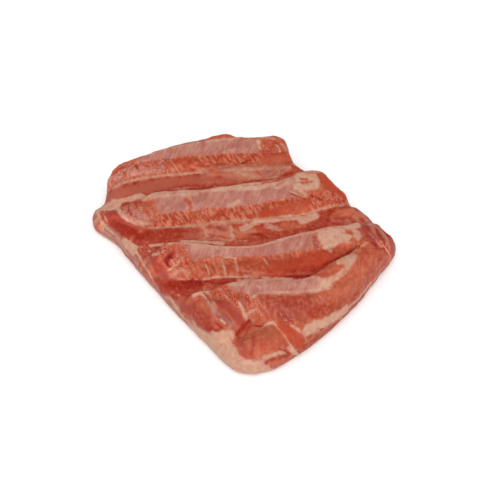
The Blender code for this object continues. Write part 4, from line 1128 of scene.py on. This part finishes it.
    "fat spots on it": ("fat", 0.75, 1, 1.2, 0.2, [
        (11.5, -62.6, 17.2), (13.6, -64.9, 16.8), (15.4, -66.6, 15.9)]),
    "mauve torn spot": ("torn", "rose", 1.7, 1.6, 0, [
        (7.6, -55.8, 18.8), (9.7, -58.6, 18.5), (11.8, -60.9, 18.3)]),
    "fat under the round muscle": ("fat", 0.85, 1.2, 1.3, 0.2, [
        (-5.5, -77.3, 12.9), (-1.8, -76.6, 12.8), (2.7, -75.1, 12.3), (6.1, -74.1, 11)]),
    "red cut under it": ("lean", "red", 1, 1, -0.3, [
        (-4.7, -78.6, 9.8), (-0.9, -77.6, 10.2), (4.1, -76.2, 9.1), (8.1, -74.6, 8.2)]),
    "small red cut": ("lean", "red", 0.5, 0.7, -0.2, [
        (3.5, -73.8, 13.4), (6.1, -73.8, 11.4), (8.2, -74.2, 8.9)]),
    "salmon strip at the foot": ("lean", "salmon", 1.3, 1.4, 0, [
        (-3.7, -79, 7.5), (2.9, -77.2, 6.8), (9.9, -74.2, 4.6)]),
    # The fat at the front corner.
    "fat wall at the front corner": ("fat", 1, 4, 1.8, 0.1, [
        (-33.2, -53.6, 8.2), (-29.5, -60.2, 8.9), (-25.6, -67.6, 9.1), (-21, -74.3, 9)]),
    "its inner part": ("fat", 1, 3, 1.6, 0.1, [
        (-28.3, -59.7, 13.1), (-23.5, -62.2, 14.6), (-22.2, -66.8, 13.1), (-20.6, -72.2, 12.1)]),
    "its tongue": ("fat", 0.9, 1.6, 1.6, 0.1, [
        (-24.2, -60.2, 15.6), (-19.4, -59.7, 14.6), (-19.3, -62, 13.8)]),
    "lower part of the fat wall": ("fat", 1, 2.6, 1.6, 0, [
        (-21.5, -73.9, 8.6), (-17, -77.7, 8.2), (-11.1, -79.4, 7.3), (-4.8, -79.3, 5.6)]),
    "fat rim under the round muscle": ("fat", 0.9, 2, 1.8, 0.1, [
        (-17.1, -75.8, 11.8), (-12.9, -78.1, 10.8), (-7.9, -78.8, 10)]),
}
STROKE_WANDER = 0.3              # how much of its width a stroke's ragged edge wanders
STROKE_SOFTNESS = 1.7            # and by how much every edge is softened

for what, how, half_width, edge, up, line in STROKES.values():
    gap, _ = distance_to(line, place)
    inside = half_width * (1 + STROKE_WANDER * ragged) - gap
    share = eased(inside / (STROKE_SOFTNESS * edge) + 0.5)
    LAY[what](share, how)
    lift = lift + up * share

# The grain shows as stripes on the raised right end and on the wide front slope, but not
# where the leaves of the right corner are.
stripes = np.maximum(0.6 * shelf_share(x + 8, y),
                     0.35 * between(behind("fourth brink"), -REACH, -3, 4)
                     * eased((x + 2) / 10) * (1 - side))
stripes = stripes * (1 - at_corner)
down_shelf = grain(np.c_[(x - 0.1 * y) / 1.5, y / 9, z / 9], 8)

# The surface itself: soft lumps all over, grain in the lean, ridges down the cut walls,
# crumbs where it is torn, and skin and fat lying a little proud. All in mm.
RELIEF = {"lumps": 0.45, "ragged": 0.14, "wall": 0.28, "crumbs": 0.6, "skin": 0.15, "fat": 0.15,
          "stripes": 0.22, "leaves": 0.9}
lift = (lift + RELIEF["lumps"] * grain(place / 5, 6) + RELIEF["ragged"] * ragged
        + RELIEF["wall"] * flecks * down_wall + RELIEF["crumbs"] * torn * grain(place / 1.7, 7)
        + RELIEF["skin"] * skin + RELIEF["fat"] * fat + RELIEF["stripes"] * stripes * down_shelf
        + RELIEF["leaves"] * at_corner * leaves * eased((to_rim - 1) / 3))
lift = lift * eased(z / 3)
place = place + normal * lift[:, None]
slab.data.vertices.foreach_set("co", (place * MM).astype(np.float32).ravel())
slab.data.update()

# What was laid is kept on the mesh, for the material to read.
for name, values in (("skin", skin), ("fat", fat), ("flecks", flecks), ("torn", torn),
                     ("calm", calm), ("stripes", stripes), ("painted_fill_light", 1 + brighter)):
    kept = slab.data.attributes.new(name, "FLOAT", "POINT")
    kept.data.foreach_set("value", values.astype(np.float32))
kept = slab.data.attributes.new("lean", "FLOAT_COLOR", "POINT")
kept.data.foreach_set("color", np.c_[lean, np.ones(points)].astype(np.float32).ravel())

# The material: raw meat, moist, with its grain, flecks and streaks.
meat = bpy.data.materials.new("raw_pork")
meat.use_nodes = True
nodes, links = meat.node_tree.nodes, meat.node_tree.links
shader = nodes["Principled BSDF"]


def node(kind, inputs=(), **settings):
    """A shader node, with its settings, and with its sockets linked or set."""
    made = nodes.new("ShaderNode" + kind)
    for key, value in settings.items():
        setattr(made, key, value)
    for key, value in dict(inputs).items():
        socket = made.inputs[key]
        if isinstance(value, bpy.types.NodeSocket):
            links.new(value, socket)
        elif socket.type == "RGBA":
            socket.default_value = (*value, 1)
        else:
            socket.default_value = value
    return made


def attribute(name, output="Fac"):
    """What was laid at each point, as the mesh keeps it."""
    return node("Attribute", attribute_name=name).outputs[output]


def maths(operation, *values):
    return node("Math", dict(enumerate(values)), operation=operation).outputs[0]


def times(a, b):
    return maths("MULTIPLY", a, b)


def times_plus(a, b, c):
    return maths("MULTIPLY_ADD", a, b, c)


def threshold(value, low, high):
    """0 at low, 1 at high and a smooth step between; low may be the greater."""
    return node("MapRange", {"Value": value, "From Min": low, "From Max": high},
                interpolation_type="SMOOTHSTEP").outputs[0]


def mixed(factor, a, b):
    """Colour a with this much of colour b over it."""
    return node("Mix", {0: factor, 6: a, 7: b}, data_type="RGBA").outputs[2]


where = node("TexCoord").outputs["Object"]


def noise(lumps, turn=0, detail=2, lean_over=0.0):
    """Noise on the slab, with lumps of so many millimetres along, across and up."""
    placed = node("Mapping", {"Vector": where, "Rotation": (0, lean_over, -math.radians(turn))})
    stretched = node("Mapping", {"Vector": placed.outputs[0],
                                 "Scale": tuple(1 / (size * MM) for size in lumps)})
    return node("TexNoise", {"Vector": stretched.outputs[0], "Scale": 1.0, "Detail": detail,
                             "Roughness": 0.55}).outputs[0]


patches = noise((7, 7, 7), detail=3)
mottle = noise((2.4, 2.4, 2.4), detail=3)
crumb = noise((0.9, 0.9, 0.9))
threads = noise((1.5, 5, 5), turn=-8, detail=4)
fine_skin = noise((6, 1.1, 5), turn=55, detail=3)
broad_skin = noise((8, 3.2, 6), turn=60, detail=3)
wall_flecks = noise((1.5, 7, 5), lean_over=0.42)

# Lean: deep patches and a paler mottle, less so where it is calm or torn.
PALE_LEAN = paint_of(212, 130, 104)
# Pale flecks: partly the fibres' own colour, partly painted highlights on the fibre bundles.
PALE_FLECK_AND_HIGHLIGHT = paint_of(210, 140, 114)
# Pale crumbs: partly real crumbs, partly painted moist glints.
PALE_CRUMB_AND_GLINT = paint_of(222, 160, 138)
lively = times_plus(maths("MAXIMUM", attribute("calm"), attribute("torn")), -0.8, 1.0)
lean_look = mixed(times(threshold(patches, 0.7, 0.35), times(lively, 0.35)),
                  attribute("lean", "Color"), LEAN["deep"])
lean_look = mixed(times(threshold(mottle, 0.42, 0.74), times(lively, 0.45)), lean_look, PALE_LEAN)

# Pale stripes of grain with deep gaps between, then the same for the flecks down the cut
# walls, whose pale flecks are partly painted highlights on the fibre bundles, and for the crumbs
# where it is torn.
stripe = times(threshold(threads, 0.5, 0.68), times_plus(attribute("stripes"), 0.4, 0.1))
stripe_gap = times(threshold(threads, 0.5, 0.34), times(attribute("stripes"), 0.45))
lean_look = mixed(stripe_gap, mixed(stripe, lean_look, PALE_LEAN), LEAN["deep"])
fleck = times(threshold(wall_flecks, 0.46, 0.6), attribute("flecks"))
fleck_gap = times(threshold(wall_flecks, 0.47, 0.36), attribute("flecks"))
lean_look = mixed(times(fleck_gap, 0.35), lean_look, LEAN["deep"])
lean_look = mixed(times(fleck, 0.75), lean_look, PALE_FLECK_AND_HIGHLIGHT)
# The pale crumbs on torn lean are partly real crumbs and partly painted moist glints.
torn_crumb_and_glint = times(threshold(crumb, 0.54, 0.66), attribute("torn"))
torn_gap = times(threshold(crumb, 0.48, 0.38), attribute("torn"))
lean_look = mixed(times(torn_gap, 0.4), lean_look, LEAN["deep"])
lean_look = mixed(times(torn_crumb_and_glint, 0.5), lean_look, PALE_CRUMB_AND_GLINT)

# Skin: streaks across the ridges from dark to pale, warmer in patches. Fat: two creams.
DARK_SKIN, PALE_SKIN = paint_of(174, 108, 98), paint_of(200, 144, 126)
WARM_SKIN = paint_of(182, 106, 88)
DARK_FAT, PALE_FAT = paint_of(204, 151, 126), paint_of(213, 169, 145)
streaks = maths("ADD", times(fine_skin, 0.4), times(broad_skin, 0.6))
skin_look = mixed(threshold(streaks, 0.38, 0.64), DARK_SKIN, PALE_SKIN)
skin_look = mixed(times(threshold(patches, 0.6, 0.35), 0.4), skin_look, WARM_SKIN)
fat_look = mixed(threshold(mottle, 0.35, 0.7), DARK_FAT, PALE_FAT)

# Skin lies over lean and fat over both, with uneven edges.
uneven = maths("SUBTRACT", times_plus(mottle, 0.4, times(crumb, 0.6)), 0.5)
skin_share = threshold(times_plus(uneven, 0.7, attribute("skin")), 0.1, 0.9)
fat_share = threshold(times_plus(uneven, 0.7, attribute("fat")), 0.1, 0.95)
look = mixed(times(skin_share, 0.95), lean_look, skin_look)
look = mixed(times(fat_share, 0.93), look, fat_look)
# The colour is made brighter by the painted fill light in the beds and on the cut walls.
look = node("VectorMath", {0: look, "Scale": attribute("painted_fill_light")}, operation="SCALE")
links.new(look.outputs[0], shader.inputs["Base Color"])

# A fine relief, and a moist gloss, duller in the pale mottle.
relief = maths("ADD", times(mottle, 0.6), times(crumb, 0.4))
relief = maths("ADD", times(wall_flecks, attribute("flecks")), relief)
bump = node("Bump", {"Height": relief, "Strength": 0.45, "Distance": 0.5 * MM})
links.new(bump.outputs[0], shader.inputs["Normal"])
roughness = node("MapRange", {"Value": mottle, "To Min": 0.3, "To Max": 0.5})
links.new(roughness.outputs[0], shader.inputs["Roughness"])
shader.inputs["Specular IOR Level"].default_value = 0.08
slab.data.materials.clear()
slab.data.materials.append(meat)
slab.data.shade_smooth()

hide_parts("pork_belly_slab")
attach(slab, "root")

# ---------------------------------------------------------------------------
# The table: a wide sheet of matt white board, seamless as far as the camera sees. It
# lies a fifth of a millimetre under the slab.

TABLE_SIZE, TABLE_TOP = 6, -0.0002
bpy.ops.object.select_all(action="DESELECT")
bpy.ops.mesh.primitive_plane_add(size=TABLE_SIZE, location=(0, 0, TABLE_TOP))
table = bpy.context.object
table.name = "table"
table.data.transform(table.matrix_basis)
table.matrix_basis.identity()
board = bpy.data.materials.new("white_board")
board.use_nodes = True
finish = board.node_tree.nodes["Principled BSDF"].inputs
finish["Base Color"].default_value = (0.93, 0.93, 0.93, 1)
finish["Roughness"].default_value = 0.9
table.data.materials.append(board)

# ---------------------------------------------------------------------------
# The lamps: a bright white room, with a wide soft box above in front of the slab and
# a smaller, weaker one low in front.

room = bpy.data.worlds.new("room")
bpy.context.scene.world = room
room.use_nodes = True
background = room.node_tree.nodes["Background"].inputs
background["Color"].default_value = (1, 1, 1, 1)
background["Strength"].default_value = 0.74


def soft_box(name, size, energy, location):
    """A square lamp that looks at the slab."""
    bpy.ops.object.light_add(type="AREA", location=location)
    lamp = bpy.context.object
    lamp.name = name
    lamp.data.shape = "SQUARE"
    lamp.data.size = size
    lamp.data.energy = energy
    lamp.rotation_euler = (-Vector(location)).to_track_quat("-Z", "Y").to_euler()


soft_box("soft_box_above", size=2.0, energy=33.0, location=(-0.3, -1.1, 1.9))
soft_box("soft_box_in_front", size=1.6, energy=13.0, location=(0.2, -2.1, 0.95))

# ---------------------------------------------------------------------------
# The camera: from the front and above, a little to the left, through a long lens.

AZIMUTH, ELEVATION = math.radians(-10.7), math.radians(48)
AIM = Vector((0.001276, -0.002951, 0.012))
DISTANCE = 0.65
LENS, SENSOR = 85, 36            # in millimetres
back_way = Vector((math.sin(AZIMUTH) * math.cos(ELEVATION),
                   -math.cos(AZIMUTH) * math.cos(ELEVATION), math.sin(ELEVATION)))
bpy.ops.object.camera_add(location=AIM + back_way * DISTANCE)
camera = bpy.context.object
camera.data.lens = LENS
camera.data.sensor_width = SENSOR
camera.rotation_mode = "QUATERNION"
camera.rotation_quaternion = (-back_way).to_track_quat("-Z", "Y")
bpy.context.scene.camera = camera
bpy.context.scene.view_settings.view_transform = "Standard"

bpy.context.view_layer.update()
